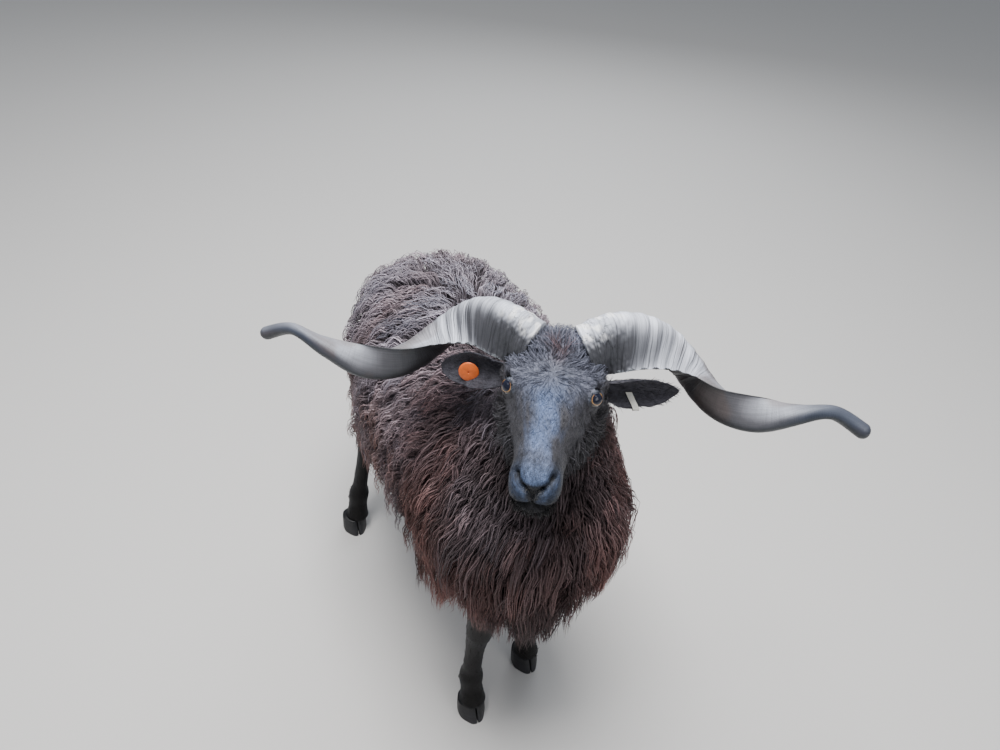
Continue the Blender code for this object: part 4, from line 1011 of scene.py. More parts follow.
def build_skin():
    """The skin's mesh, with each point's part and its place on that part's own unwrap."""
    rings = skin_rings()
    parts = {name: loft_arrays(rings[name]) for name in SKIN_PARTS}
    mesh = union_of(parts)
    points = points_of(mesh)
    keys = np.concatenate([rows_of_keys(parts[name][0]) for name in SKIN_PARTS])
    labels = np.concatenate([np.full(len(parts[n][0]), i) for i, n in enumerate(SKIN_PARTS)])
    places = np.vstack([grid_places(rings[name]) for name in SKIN_PARTS])
    order = np.argsort(keys)
    found = np.clip(np.searchsorted(keys[order], rows_of_keys(points)), 0, len(keys) - 1)
    match = order[found]
    known = keys[match] == rows_of_keys(points)
    part, place = labels[match], places[match]
    seam = np.nonzero(~known)[0]
    tree = search_tree(points, np.nonzero(known)[0])
    for i in seam:
        near = tree.find(points[i])[1]
        part[i], place[i] = part[near], place[near]
    near_seam = search_tree(points, seam)
    weight = np.zeros(len(points))
    candidates = np.isin(part, [SKIN_PARTS.index(n) for n in ("head", "neck", "ear_left", "ear_right")])
    for i in np.nonzero(candidates)[0]:
        gap = near_seam.find(points[i])[2]
        reach = SEAM_REACH.get(SKIN_PARTS[part[i]], 0.02)
        weight[i] = 0.7 * smooth_step(1 - gap / reach)
    points = smooth_points(points, edges_of(mesh), weight, SEAM_ROUNDS)
    mesh.vertices.foreach_set("co", points.astype(np.float32).ravel())
    mesh.update()
    mesh.polygons.foreach_set("use_smooth", np.ones(len(mesh.polygons), bool))
    mesh.materials.clear()
    return mesh, part, place


def skin_colours(points, part):
    """The skin's colour: dark under the wool, the short coat's on head and legs, with the face's
    painted light.
    """
    near, _ = wool_colours(points - MOVE)
    made = near * SKIN_TONE
    head = part == SKIN_PARTS.index("head")
    made[head] = face_colours(points[head] - MOVE)
    for name in ("ear_left", "ear_right"):
        made[part == SKIN_PARTS.index(name)] = EAR_BLACK
    legs = part >= SKIN_PARTS.index("leg_front_left")
    made[legs] = LEG_BLACK
    return made


def hair_places(points, part, place):
    """Coordinates that run along and across the lie of the short hair, in metres."""
    made = np.zeros((len(points), 3))
    for i, name in enumerate(SKIN_PARTS):
        own = part == i
        if name.startswith("leg"):
            made[own, 0] = place[own, 0] * LEG_GIRTH
            made[own, 1] = points[own, 2]
        else:
            made[own, 0] = place[own, 0] * HEAD_GIRTH
            made[own, 1] = in_head(points[own] - MOVE)[:, 1]
    made[:, 2] = part
    return made


def new_material(name):
    made = bpy.data.materials.new(name)
    made.use_nodes = True
    tree = made.node_tree
    shader = tree.nodes["Principled BSDF"]
    return made, tree, shader


def add_node(tree, kind, **settings):
    node = tree.nodes.new(kind)
    for key, value in settings.items():
        if key in node.inputs:
            node.inputs[key].default_value = value
        else:
            setattr(node, key, value)
    return node


def attribute_node(tree, name):
    node = tree.nodes.new("ShaderNodeAttribute")
    node.attribute_name = name
    return node


def place_node(tree):
    return tree.nodes.new("ShaderNodeTexCoord").outputs["Object"]


def axes_of(tree, vector):
    """The three numbers of a vector."""
    node = tree.nodes.new("ShaderNodeSeparateXYZ")
    tree.links.new(vector, node.inputs[0])
    return node.outputs


def set_values(shader, **values):
    """Sets a shader's own sockets, whose names are written with _ for each space."""
    for name, value in values.items():
        shader.inputs[name.replace("_", " ")].default_value = value


def stretched(tree, source, scale):
    node = tree.nodes.new("ShaderNodeMapping")
    node.inputs["Scale"].default_value = scale
    tree.links.new(source, node.inputs["Vector"])
    return node.outputs["Vector"]


def noise(tree, vector, scale, detail=3.0, roughness=0.55):
    node = add_node(tree, "ShaderNodeTexNoise", Scale=scale, Detail=detail, Roughness=roughness)
    tree.links.new(vector, node.inputs["Vector"])
    return node.outputs["Fac"]


def ramp(tree, source, stops):
    node = tree.nodes.new("ShaderNodeValToRGB")
    elements = node.color_ramp.elements
    while len(elements) < len(stops):
        elements.new(0.5)
    for element, (place, colour) in zip(elements, stops):
        element.position = place
        element.color = (*colour, 1.0) if len(colour) == 3 else colour
    tree.links.new(source, node.inputs["Fac"])
    return node.outputs["Color"]


def tinted(tree, one, two, share, kind="MIX"):
    """A mix of two colours; each of the three may be a socket or a value."""
    node = tree.nodes.new("ShaderNodeMix")
    node.data_type = "RGBA"
    node.blend_type = kind
    for key, value in (("A", one), ("B", two), ("Factor", share)):
        index = {"Factor": 0, "A": 6, "B": 7}[key]
        if isinstance(value, bpy.types.NodeSocket):
            tree.links.new(value, node.inputs[index])
        elif key == "Factor":
            node.inputs[index].default_value = value
        else:
            node.inputs[index].default_value = (*value, 1.0)
    return node.outputs[2]


def times(tree, one, two, share=1.0):
    """Two colours multiplied, by a share."""
    return tinted(tree, one, two, share, "MULTIPLY")


def bumped(tree, shader, height, distance, strength=1.0, before=None):
    node = add_node(tree, "ShaderNodeBump", Distance=distance, Strength=strength)
    tree.links.new(height, node.inputs["Height"])
    if before is not None:
        tree.links.new(before, node.inputs["Normal"])
    tree.links.new(node.outputs["Normal"], shader.inputs["Normal"])
    return node.outputs["Normal"]


def greys(tree, source, *stops):
    """A ramp of greys, from pairs of place and value."""
    return ramp(tree, source, [(place, (value, value, value)) for place, value in stops])


def shaded(tree, colour, source, *stops, share=1.0):
    """A colour multiplied by a ramp of greys."""
    return times(tree, colour, greys(tree, source, *stops), share)


def skin_material():
    """Short flat hair as fine streaks along its lie, in the colours of the markings."""
    made, tree, shader = new_material("short_coat")
    hair = attribute_node(tree, "hair").outputs["Vector"]
    streaks = noise(tree, stretched(tree, hair, (2600.0, 260.0, 1.0)), 1.0, 3.0, 0.6)
    clumps = noise(tree, stretched(tree, hair, (420.0, 90.0, 1.0)), 1.0, 2.0, 0.5)
    colour = attribute_node(tree, "marking").outputs["Color"]
    colour = shaded(tree, colour, streaks, (0.30, 0.45), (0.70, 1.65))
    colour = shaded(tree, colour, clumps, (0.30, 0.75), (0.70, 1.30))
    place = place_node(tree)
    mottle = greys(tree, noise(tree, place, 260.0, 3.0, 0.6), (0.32, 0.62), (0.66, 1.20))
    colour = times(tree, colour, mottle, 0.8)
    tree.links.new(colour, shader.inputs["Base Color"])
    wet = attribute_node(tree, "wet").outputs["Fac"]
    rough = greys(tree, wet, (0.0, 0.50), (1.0, 0.20))
    tree.links.new(rough, shader.inputs["Roughness"])
    shine = greys(tree, wet, (0.0, 0.22), (0.8, 0.42))
    tree.links.new(shine, shader.inputs["Specular IOR Level"])
    set_values(shader, Sheen_Weight=0.04, Sheen_Roughness=0.45, Sheen_Tint=(0.55, 0.65, 0.85, 1.0))
    first = bumped(tree, shader, streaks, 0.0006, 0.7)
    second = bumped(tree, shader, clumps, 0.0010, 0.5, first)
    beads = noise(tree, place, 700.0, 2.0, 0.5)
    bumped(tree, shader, beads, 0.0010, 0.8, second)
    return made


def wool_material(name, roughness, sheen):
    """Wool fibres in the colours that the locks carry, mottled along them."""
    made, tree, shader = new_material(name)
    colour = attribute_node(tree, "marking").outputs["Color"]
    place = place_node(tree)
    mottle = noise(tree, place, 260.0, 3.0, 0.6)
    colour = shaded(tree, colour, mottle, (0.30, 0.72), (0.72, 1.32))
    tree.links.new(colour, shader.inputs["Base Color"])
    set_values(shader, Roughness=roughness, Specular_IOR_Level=0.12, Sheen_Weight=sheen,
               Sheen_Roughness=0.5)
    bumped(tree, shader, mottle, 0.0006, 0.5)
    return made


def cracks(tree, place, size):
    """The distance to the nearest edge between irregular cells."""
    node = add_node(tree, "ShaderNodeTexVoronoi", feature="DISTANCE_TO_EDGE", Scale=size)
    tree.links.new(place, node.inputs["Vector"])
    return node.outputs["Distance"]


def colour_noise(tree, place, size):
    """Three smooth random values at each place."""
    node = add_node(tree, "ShaderNodeTexNoise", Scale=size, Detail=2.0)
    tree.links.new(place, node.inputs["Vector"])
    return node.outputs["Color"]


def horn_material():
    """Grey horn with fine growth lines, lengthwise scratches and a flaking base."""
    made, tree, shader = new_material("horn_grey")
    own = attribute_node(tree, "horn").outputs["Vector"]
    along = axes_of(tree, own)["Y"]
    place = place_node(tree)
    rings = noise(tree, stretched(tree, own, (2.2, 260.0, 1.0)), 1.0, 4.0, 0.65)
    scratches = noise(tree, stretched(tree, own, (75.0, 5.0, 1.0)), 1.0, 4.0, 0.6)
    grain = noise(tree, place, 420.0, 3.0, 0.6)
    blotch = noise(tree, place, 26.0, 3.0, 0.5)
    colour = attribute_node(tree, "marking").outputs["Color"]
    lined = greys(tree, along, (0.10, 0.30), (0.30, 1.0), (0.46, 0.85), (0.62, 0.20), (1.0, 0.10))
    shade = greys(tree, rings, (0.38, 0.48), (0.46, 0.98), (0.70, 1.14))
    colour = times(tree, colour, tinted(tree, WHITE, shade, lined))
    shade = greys(tree, scratches, (0.32, 0.80), (0.68, 1.16))
    smooth = greys(tree, along, (0.40, 0.10), (0.58, 0.75))
    colour = times(tree, colour, shade, smooth)
    colour = shaded(tree, colour, blotch, (0.30, 0.78), (0.70, 1.20), share=0.8)
    bent = add_node(tree, "ShaderNodeVectorMath", operation="ADD")
    tree.links.new(stretched(tree, own, (16.0, 95.0, 1.0)), bent.inputs[0])
    tree.links.new(colour_noise(tree, place, 150.0), bent.inputs[1])
    gap = cracks(tree, bent.outputs["Vector"], 1.0)
    crack = greys(tree, gap, (0.0, 0.10), (0.03, 0.45), (0.07, 1.0))
    where = greys(tree, noise(tree, place, 60.0, 2.0, 0.5), (0.46, 0.0), (0.60, 0.9))
    near = greys(tree, along, (0.07, 1.0), (0.14, 0.0))
    flaked = times(tree, where, near)
    colour = times(tree, colour, tinted(tree, WHITE, crack, flaked))
    tree.links.new(colour, shader.inputs["Base Color"])
    set_values(shader, Roughness=0.42, Specular_IOR_Level=0.50,
               Specular_Tint=(0.80, 0.90, 1.0, 1.0))
    first = bumped(tree, shader, rings, 0.0010, 0.6)
    second = bumped(tree, shader, grain, 0.0004, 0.5, first)
    bumped(tree, shader, scratches, 0.0007, 0.4, second)
    return made


# Horns: stations and sides, the stations of the blunt end, and the growth lines' distances, their
# largest number and their half width.
HORN_FINE = (640, 72)
HORN_ROUND_FINE = 14
LINE_GAP = (0.0024, 0.0072)
LINE_COUNT = 280
LINE_HALF = 0.00095
# Painted highlight: the pale blue-white of the sky's reflection on the horns' upper faces.
HORN_TOP_HIGHLIGHT = np.array((0.700, 0.735, 0.840))
HORN_MID = np.array((0.070, 0.070, 0.080))
HORN_SMOOTH = np.array((0.096, 0.094, 0.104))
HORN_BROWN = np.array((0.115, 0.078, 0.062))
HORN_BLUE = np.array((0.034, 0.043, 0.068))
HORN_WHITE = np.array((0.860, 0.860, 0.870))
HORN_EDGE = np.array((0.330, 0.305, 0.290))


def horn_colours(grid, shares, around, groove, down):
    """The horn's colour at each point of its surface."""
    share, turn = shares[:, None], around[None, :]
    ridged = smooth_step((0.60 - share) / 0.22)
    # Painted highlight on the faces that look up, strongest on the ridged base.
    high = smooth_step((down - 0.34) / 0.58)
    wide = drift(grid, 0.045, 21)
    small = drift(grid, 0.014, 22)
    pale = np.clip(high * (0.80 + 0.25 * wide) * (0.35 + 0.65 * ridged), 0, 1)
    made = mix(mix(HORN_SMOOTH, HORN_MID, ridged), HORN_TOP_HIGHLIGHT, pale)
    brown = smooth_step((drift(grid, 0.060, 23) - 0.05) / 0.5) * smooth_step((share - 0.30) / 0.2)
    made = mix(made, HORN_BROWN, 0.45 * brown)
    rim = np.exp(-(((turn - np.pi) / 0.85) ** 2)) * smooth_step((share - 0.46) / 0.14)
    made = mix(made, HORN_BLUE, 0.72 * rim * (1 - 0.35 * high))
    tip = np.where(grid[..., 0] > 0, 0.70, 0.30)
    made = mix(made, HORN_BLUE, tip * smooth_step((share - 0.80) / 0.14))
    edge = np.exp(-((np.minimum(turn, 2 * np.pi - turn) / 0.10) ** 2))
    made = mix(made, HORN_EDGE, 0.6 * edge * smooth_step((share - 0.12) / 0.1))
    # White flaking of the base, kept to the faces that look up, where it also stands for the painted
    # highlight.
    flaking_and_highlight = smooth_step((0.115 - share + 0.05 * wide) / 0.04) * smooth_step((small - 0.05) / 0.30)
    flaking_and_highlight = flaking_and_highlight * high
    made = mix(made, HORN_WHITE, 0.85 * flaking_and_highlight)
    # Painted shade on the faces that look down, and darker in the growth grooves.
    dark = (1 - 0.78 * smooth_step((0.22 - down) / 0.60)) * (1 - 0.62 * np.clip(groove, 0, 1))
    return made * dark[..., None]


def build_horn(side, name, material):
    """A horn with irregular growth ridges, a sharp keel and a blunt end."""
    stations, sides = HORN_FINE
    chance = np.random.default_rng(SEED + side)
    shares = horn_shares(stations, HORN_ROUND_FINE)
    centre, edge, face, half, thick = horn_frames(side, shares)
    length = np.concatenate([[0], np.cumsum(np.linalg.norm(np.diff(centre, axis=0), axis=1))])
    around = 2 * np.pi * np.arange(sides) / sides
    to_edge, to_face = horn_section(shares, half, thick, around)
    grid = (centre[:, None] + to_edge[..., None] * edge[:, None]
            + to_face[..., None] * face[:, None])
    normal = grid_normals(grid)
    marks = np.cumsum(chance.uniform(*LINE_GAP, LINE_COUNT))
    marks = marks[marks < length[-1]]
    depths = chance.uniform(0.20, 1.0, len(marks)) ** 1.2
    skew = chance.uniform(-0.0022, 0.0022, len(marks))
    phase = chance.uniform(0, 2 * np.pi, len(marks))
    groove = np.zeros(grid.shape[:2])
    for mark, depth, lean, start in zip(marks, depths, skew, phase):
        wave = lean * np.cos(around + start) + 0.0007 * np.sin(3 * around + start)
        wave += 0.0004 * np.sin(7 * around + 3 * start)
        gap = (length[:, None] - mark - wave[None, :]) / LINE_HALF
        broken = 0.62 + 0.38 * np.cos(2 * around + 5 * start)[None, :]
        groove += depth * broken * np.exp(-gap**2)
    fade = smooth_step((0.64 - shares) / 0.26)[:, None]
    groove *= fade
    swell = np.sin(length[:, None] / 0.021 * 2 * np.pi + 0.9 * np.cos(around)[None, :])
    rough = 0.6 * drift(grid, 0.010, 31) + 0.3 * drift(grid, 0.005, 32)
    chipped = smooth_step((0.17 - shares) / 0.05)[:, None]
    push = 0.0005 - 0.0009 * groove + 0.0006 * swell * fade + 0.0007 * rough * chipped
    grid = grid + normal * push[..., None]
    grid[..., 0] *= side
    grid = in_world(grid) + MOVE
    points, triangles = loft_arrays(grid)
    mesh = mesh_from_arrays(f"horn_{name}_fine", points, triangles)
    places = np.zeros((len(points), 3))
    places[:-2, 0] = np.broadcast_to(around / (2 * np.pi), grid.shape[:2]).ravel()
    places[:-2, 1] = np.broadcast_to(shares[:, None], grid.shape[:2]).ravel()
    places[-1, 1] = 1.0
    set_attribute(mesh, "horn", "FLOAT_VECTOR", places)
    # How far each point faces up, which places the painted highlight and the painted shade.
    down = grid_normals(grid)[..., 2]
    down = down * np.sign(np.sum(grid_normals(grid) * (grid - grid.mean(axis=1, keepdims=True))))
    tint = np.tile(HORN_BLUE, (len(points), 1))
    tint[:-2] = horn_colours(grid, shares, around, groove, down).reshape(-1, 3)
    set_attribute(mesh, "marking", "FLOAT_COLOR", with_alpha(tint))
    obj = add_object(f"horn_{name}_fine", mesh, material)
    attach(obj, "root")
    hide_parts(f"horn_{name}")
    return obj


# Eyes: rings and sides, where they look, the pupil's half sizes, its place on the colour ramp, and
# the angle of the iris.
EYE_FINE = (96, 64)
EYE_GAZE = unit((0.55, -0.60, 0.50))
PUPIL_WIDE = 0.54
PUPIL_TALL = 0.49
PUPIL_EDGE = 0.58
IRIS_ANGLE = 0.74


def eye_material():
    """An amber iris with a wide dark pupil that lies across it, under a wet surface."""
    made, tree, shader = new_material("eye_amber")
    own = attribute_node(tree, "look").outputs["Vector"]
    streak = noise(tree, stretched(tree, own, (9.0, 9.0, 9.0)), 1.0, 4.0, 0.7)
    colour = ramp(tree, axes_of(tree, own)["X"], [
        (0.00, (0.002, 0.003, 0.012)), (0.56, (0.003, 0.005, 0.018)), (0.62, (0.10, 0.035, 0.010)),
        (0.70, (0.40, 0.180, 0.055)), (0.84, (0.52, 0.31, 0.130)), (0.90, (0.06, 0.025, 0.012)),
        (1.00, (0.015, 0.010, 0.009)),
    ])
    colour = shaded(tree, colour, streak, (0.30, 0.70), (0.70, 1.35))
    tree.links.new(colour, shader.inputs["Base Color"])
    set_values(shader, Roughness=0.12, Coat_Weight=0.55, Coat_Roughness=0.03)
    return made


def build_eye(side, name, material):
    """An eyeball with a swollen cornea, and the pattern's own distance in each point."""
    rings, sides = EYE_FINE
    centre, look, long, up = eye_axes(side)
    polar = np.linspace(0.0008, np.pi - 0.0008, rings)
    turn = 2 * np.pi * np.arange(sides) / sides
    gaze = EYE_GAZE * np.array((side, 1, 1))
    swell = 0.0007 * smooth_step((0.62 - polar) / 0.25)
    radius = (EYE_RADIUS - 0.0008 + swell)[:, None]
    across = np.sin(polar)[:, None] * np.cos(turn)[None, :]
    high = np.sin(polar)[:, None] * np.sin(turn)[None, :]
    front = np.cos(polar)[:, None] * np.ones((1, sides))
    grid = centre + (radius * across)[..., None] * long + (radius * high)[..., None] * up
    grid = grid + (radius * front)[..., None] * look
    points, triangles = loft_arrays(in_world(grid) + MOVE)
    mesh = mesh_from_arrays(f"eye_{name}_fine", points, triangles)
    away = normalised(grid - centre)
    gaze_long = unit(long - gaze * (long @ gaze))
    gaze_up = np.cross(gaze, gaze_long)
    off = np.arccos(np.clip(away @ gaze, -1, 1))
    wide, tall = away @ gaze_long, away @ gaze_up
    narrow = np.hypot(wide / PUPIL_WIDE, tall / PUPIL_TALL) * PUPIL_EDGE
    reach = np.where(narrow < PUPIL_EDGE, narrow, np.maximum(off / IRIS_ANGLE, 0.60))
    reach = np.clip(np.where(off > 1.2, 1.0, reach), 0, 1)
    values = np.zeros((len(points), 3))
    values[:-2, 0] = reach.ravel()
    values[:-2, 1] = np.arctan2(tall, wide).ravel()
    values[:-2, 2] = off.ravel() * 0.3
    values[-1, 0] = 1.0
    set_attribute(mesh, "look", "FLOAT_VECTOR", values)
    obj = add_object(f"eye_{name}_fine", mesh, material)
    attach(obj, "root")
    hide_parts(f"eye_{name}")
    return obj


def hoof_material():
    made, tree, shader = new_material("hoof_horn")
    place = place_node(tree)
    bands = noise(tree, stretched(tree, place, (30.0, 30.0, 420.0)), 1.0, 3.0, 0.6)
    streaks = noise(tree, stretched(tree, place, (520.0, 520.0, 40.0)), 1.0, 3.0, 0.6)
    colour = attribute_node(tree, "marking").outputs["Color"]
    colour = shaded(tree, colour, bands, (0.30, 0.65), (0.70, 1.35))
    colour = shaded(tree, colour, streaks, (0.30, 0.80), (0.70, 1.25))
    tree.links.new(colour, shader.inputs["Base Color"])
    set_values(shader, Roughness=0.5)
    first = bumped(tree, shader, bands, 0.0010, 0.6)
    bumped(tree, shader, streaks, 0.0005, 0.5, first)
    return made


# The hooves' colours, and the levels and points of each claw.
HOOF_DARK = np.array((0.0075, 0.0075, 0.0095))
HOOF_PALE = np.array((0.018, 0.0180, 0.0220))
CLAW_FINE = (30, 40)


def build_hooves(material):
    for name, (_, foot, _) in LEGS.items():
        for side, which in ((1, "left"), (-1, "right")):
            rings = claw_rings(foot, side, *CLAW_FINE) + MOVE
            points, triangles = loft_arrays(rings)
            mesh = mesh_from_arrays(f"hoof_{name}_{which}_fine", points, triangles)
            away = points[:, 1] - MOVE[1] - foot[1]
            pale = smooth_step((-0.018 - away) / 0.022) * smooth_step((0.030 - points[:, 2]) / 0.02)
            set_attribute(mesh, "marking", "FLOAT_COLOR",
                          with_alpha(mix(HOOF_DARK, HOOF_PALE, 0.75 * pale)))
            obj = add_object(f"hoof_{name}_{which}_fine", mesh, material)
            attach(obj, "root")
            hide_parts(f"hoof_{name}_{which}")


def plastic_material(name, colour, roughness):
    made, tree, shader = new_material(name)
    place = place_node(tree)
    grain = noise(tree, place, 900.0, 2.0, 0.6)
    dirt = noise(tree, place, 120.0, 4.0, 0.6)
    mixed = shaded(tree, colour, dirt, (0.35, 0.80), (0.65, 1.05))
    tree.links.new(mixed, shader.inputs["Base Color"])
    set_values(shader, Roughness=roughness)
    bumped(tree, shader, grain, 0.0001, 0.5)
    return made


def build_tags():
    """The round tag on its pin through the right ear, and the strip over the left ear's edge."""
    orange = plastic_material("orange_plastic", TAG_ORANGE, 0.45)
    pale = plastic_material("pale_plastic", TAG_PALE, 0.40)
    point, out, _ = ear_spot(-1, DISC_SHARE, DISC_SWEEP)
    centre = in_world(point)
    way = unit(in_world(point + out) - centre)
    profile = [
        (DISC_LIFT + DISC_THICK - 0.0016, DISC_HOLE * 0.35),
        (DISC_LIFT + DISC_THICK - 0.0014, DISC_HOLE * 0.60),
        (DISC_LIFT + DISC_THICK - 0.0002, DISC_HOLE * 0.75),
        (DISC_LIFT + DISC_THICK, DISC_HOLE),
        (DISC_LIFT + DISC_THICK * 0.93, DISC_RADIUS * 0.40),
        (DISC_LIFT + DISC_THICK * 0.75, DISC_RADIUS * 0.80),
        (DISC_LIFT + DISC_THICK * 0.60, DISC_RADIUS * 0.93),
        (DISC_LIFT + DISC_THICK * 0.35, DISC_RADIUS),
        (DISC_LIFT + DISC_THICK * 0.10, DISC_RADIUS * 0.99),
        (DISC_LIFT, DISC_RADIUS * 0.95),
        (DISC_LIFT - 0.0004, DISC_RADIUS * 0.40),
        (DISC_LIFT - HINGE_SINK, PIN_RADIUS),
        (-BACK_LIFT, PIN_RADIUS),
        (-BACK_LIFT - 0.0006, BACK_RADIUS * 0.97),
        (-BACK_LIFT - 0.0018, BACK_RADIUS),
        (-BACK_LIFT - 0.0026, BACK_RADIUS * 0.90),
    ]
    hinge = centre + way * (DISC_LIFT - HINGE_SINK)
    disc = [(height - DISC_LIFT + HINGE_SINK, radius) for height, radius in profile[:DISC_RINGS]]
    rings = np.concatenate([cylinder_rings(hinge, DISC_FACING, disc, TAG_SIDES),
                            cylinder_rings(centre, way, profile[DISC_RINGS:], TAG_SIDES)]) + MOVE
    mesh = mesh_from_arrays("tag_round_fine", *loft_arrays(rings))
    disc = add_object("tag_round_fine", mesh, orange)
    sweeps = np.linspace(STRIP_TOP, 0.86, 14)
    spots = []
    for face, order in ((1, sweeps), (-1, sweeps[::-1])):
        for sweep in order:
            point, out, along = ear_spot(1, STRIP_SHARE + STRIP_LEAN * sweep, sweep)
            lift = EAR_THICK / 2 + STRIP_CLEAR
            spots.append((point + out * face * lift, out * face, along))
        if face == 1:
            edge_share = STRIP_SHARE + STRIP_LEAN
            point, out, along = ear_spot(1, edge_share, 1.0)
            edge_way = unit(np.cross(along, out))
            edge_way *= np.sign(edge_way @ (point - ear_spot(1, edge_share, 0.5)[0]))
            for turn in np.radians(np.linspace(60.0, -60.0, 9)):
                way = unit(edge_way * math.cos(turn) + out * math.sin(turn))
                spots.append((point + way * (EAR_THICK / 3 + STRIP_CLEAR), way, along))
    rings = []
    for point, out, along in spots:
        half = along * STRIP_WIDTH / 2
        rings.append([point - half, point + half, point + half * 0.96 + out * STRIP_THICK,
                      point - half * 0.96 + out * STRIP_THICK])
    points, triangles = loft_arrays(in_world(np.array(rings)) + MOVE)
    strip = add_object("tag_strip_fine", mesh_from_arrays("tag_strip_fine", points, triangles, False),
                       pale)
    for obj, node in ((disc, "tag_round"), (strip, "tag_strip")):
        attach(obj, "root")
        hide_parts(node)


# Fleece: part of the skin, region, kind of wool, locks, strands a lock, rings a strand, pieces.
FLEECE = [
    ("torso", "back", "back", 1440, 8, 10, 4),
    ("torso", "chest", "chest", 600, 13, 8, 2),
    ("neck", "neck", "neck", 430, 10, 8, 1),
    ("tail", "tail", "tail", 115, 10, 8, 1),
    ("leg_hind_left", "thigh_left", "thigh", 78, 7, 7, 1),
    ("leg_hind_right", "thigh_right", "thigh", 78, 7, 7, 1),
]
# The points of each lock's middle line.
GUIDE_STEPS = 14


def scattered(points, triangles, keep, count, chance):
    """Random places spread by area over the triangles that are kept."""
    picked = triangles[keep]
    a, b, c = [points[picked[:, i]] for i in range(3)]
    cross = np.cross(b - a, c - a)
    area = np.linalg.norm(cross, axis=1) / 2
    which = chance.choice(len(picked), size=count, p=area / area.sum())
    u, v = np.sqrt(chance.random(count)), chance.random(count)
    weight = np.stack([1 - u, u * (1 - v), u * v], axis=1)
    place = np.einsum("ij,ijk->ik", weight, points[picked[which]])
    return place, normalised(cross[which]), picked[which][:, 0], area.sum()


def evened(place, spacing, count):
    """The first places that keep a spacing from each other, up to a count."""
    cells = {}
    kept = []
    for i, point in enumerate(place):
        cell = tuple(np.floor(point / spacing).astype(int))
        near = [
            j
            for dx in (-1, 0, 1) for dy in (-1, 0, 1) for dz in (-1, 0, 1)
            for j in cells.get((cell[0] + dx, cell[1] + dy, cell[2] + dz), ())
        ]
        if all(np.sum((place[j] - point) ** 2) > spacing**2 for j in near):
            cells.setdefault(cell, []).append(i)
            kept.append(i)
            if len(kept) == count:
                break
    return np.array(kept)


def lie_of(point, normal, part):
    """The way the wool falls at a place, along the skin."""
    x, y, _ = point - MOVE
    middle = CHEST_SHIFT + (RUMP_SHIFT - CHEST_SHIFT) * np.clip((y - CHEST_Y) / BODY_LENGTH, 0, 1)
    side = np.tanh((x - middle) / 0.05)
    front = step_at((-0.14 - y) / 0.14)
    top = step_at((normal[2] - 0.1) / 0.6)
    if part == "neck":
        fall = np.array((0.30 * side, 0.10, -1.0))
    elif part == "tail":
        fall = np.array((0.0, 0.10, -1.0))
    elif part.startswith("leg"):
        fall = np.array((0.0, 0.30, -1.0))
    else:
        fall = np.array((0.45 * side * top + 0.05 * side, 0.50 + 0.25 * top - 0.45 * front, -1.0))
    fall -= normal * (fall @ normal)
    return unit(fall)


def coat_depth(point, part):
    """The depth from the skin to the tips of the wool."""
    y, z = point[1] - MOVE[1], point[2]
    if part == "tail":
        return 0.020
    if part.startswith("leg"):
        return 0.014 + 0.028 * step_at((z - 0.25) / 0.12)
    if part == "neck":
        share = np.clip((z - NECK_BASE[2]) / (NECK_TOP[2] - NECK_BASE[2]), 0, 1)
        return float(neck_depth(np.array([share]))[0]) * (1 - SKIN_SHARE)
    front = step_at((-0.14 - y) / 0.16)
    return (SIDE_COAT + (CHEST_COAT - SIDE_COAT) * front) * (1 - SKIN_SHARE)


# The chest's wool grows in front of the first line, the thighs' above the second.
CHEST_LINE = -0.17
THIGH_LINE = 0.245
# Kinds of wool: how far a lock spreads, how much it closes to its tip, a strand's half width,
# its wave's height, length and unevenness, and the share of its length to its second ring.
WOOL = {
    "back": (0.016, 0.50, 0.00115, 0.0034, 0.034, 0.85, 0.26),
    "chest": (0.021, 0.62, 0.00110, 0.0030, 0.082, 0.75, 0.16),
    "neck": (0.019, 0.62, 0.00110, 0.0030, 0.070, 0.75, 0.16),
    "tail": (0.014, 0.70, 0.00115, 0.0030, 0.042, 0.70, 0.16),
    "thigh": (0.016, 0.60, 0.00115, 0.0032, 0.045, 0.80, 0.16),
}
# The share of a lock's length over which it rises from the skin.
RISE_BY = 0.50


def length_of(point, part):
    """The full length of the wool at a place."""
    if part == "tail":
        return 0.080
    if part.startswith("leg"):
        return 0.095
    if part == "neck":
        return 0.135
    front = step_at((-0.12 - point[1] + MOVE[1]) / 0.14)
    low = step_at((0.50 - point[2]) / 0.14)
    belly = step_at((0.57 - point[2]) / 0.10)
    middle = math.exp(-(((point[0] - MOVE[0] - 0.01) / 0.075) ** 2))
    return 0.098 + (0.060 + (0.060 * middle - 0.012) * low) * front + 0.004 * belly * (1 - front)


def pulled_in(point):
    """The share of the coat's depth at a place: less low on the chest's left, more above it."""
    x, y, z = point - MOVE
    left = step_at((x - 0.02) / 0.12)
    front = step_at((-0.05 - y) / 0.12)
    low = step_at((0.76 - z) / 0.16)
    high = step_at((z - 0.70) / 0.06)
    return 1 - 0.62 * left * front * low + 0.55 * left * front * high


# The hem of the torso's wool: the distance to the left, and the height that the tips reach.
HEM = np.array([
    (-0.200, 0.500),
    (-0.156, 0.410),
    (-0.132, 0.385),
    (-0.099, 0.350),
    (-0.071, 0.310),
    (-0.022, 0.250),
    (0.023, 0.246),
    (0.064, 0.255),
    (0.082, 0.305),
    (0.121, 0.342),
    (0.145, 0.401),
    (0.165, 0.440),
])
# Behind this place the hem shifts to the side and drops, by these amounts for each metre back.
HEM_Y = -0.34
HEM_LEAN = (0.93, 1.9)
# Wool hangs freely where the skin faces down more than this.
HANG_BELOW = -0.25
DOWN = np.array((0.0, 0.0, -1.0))


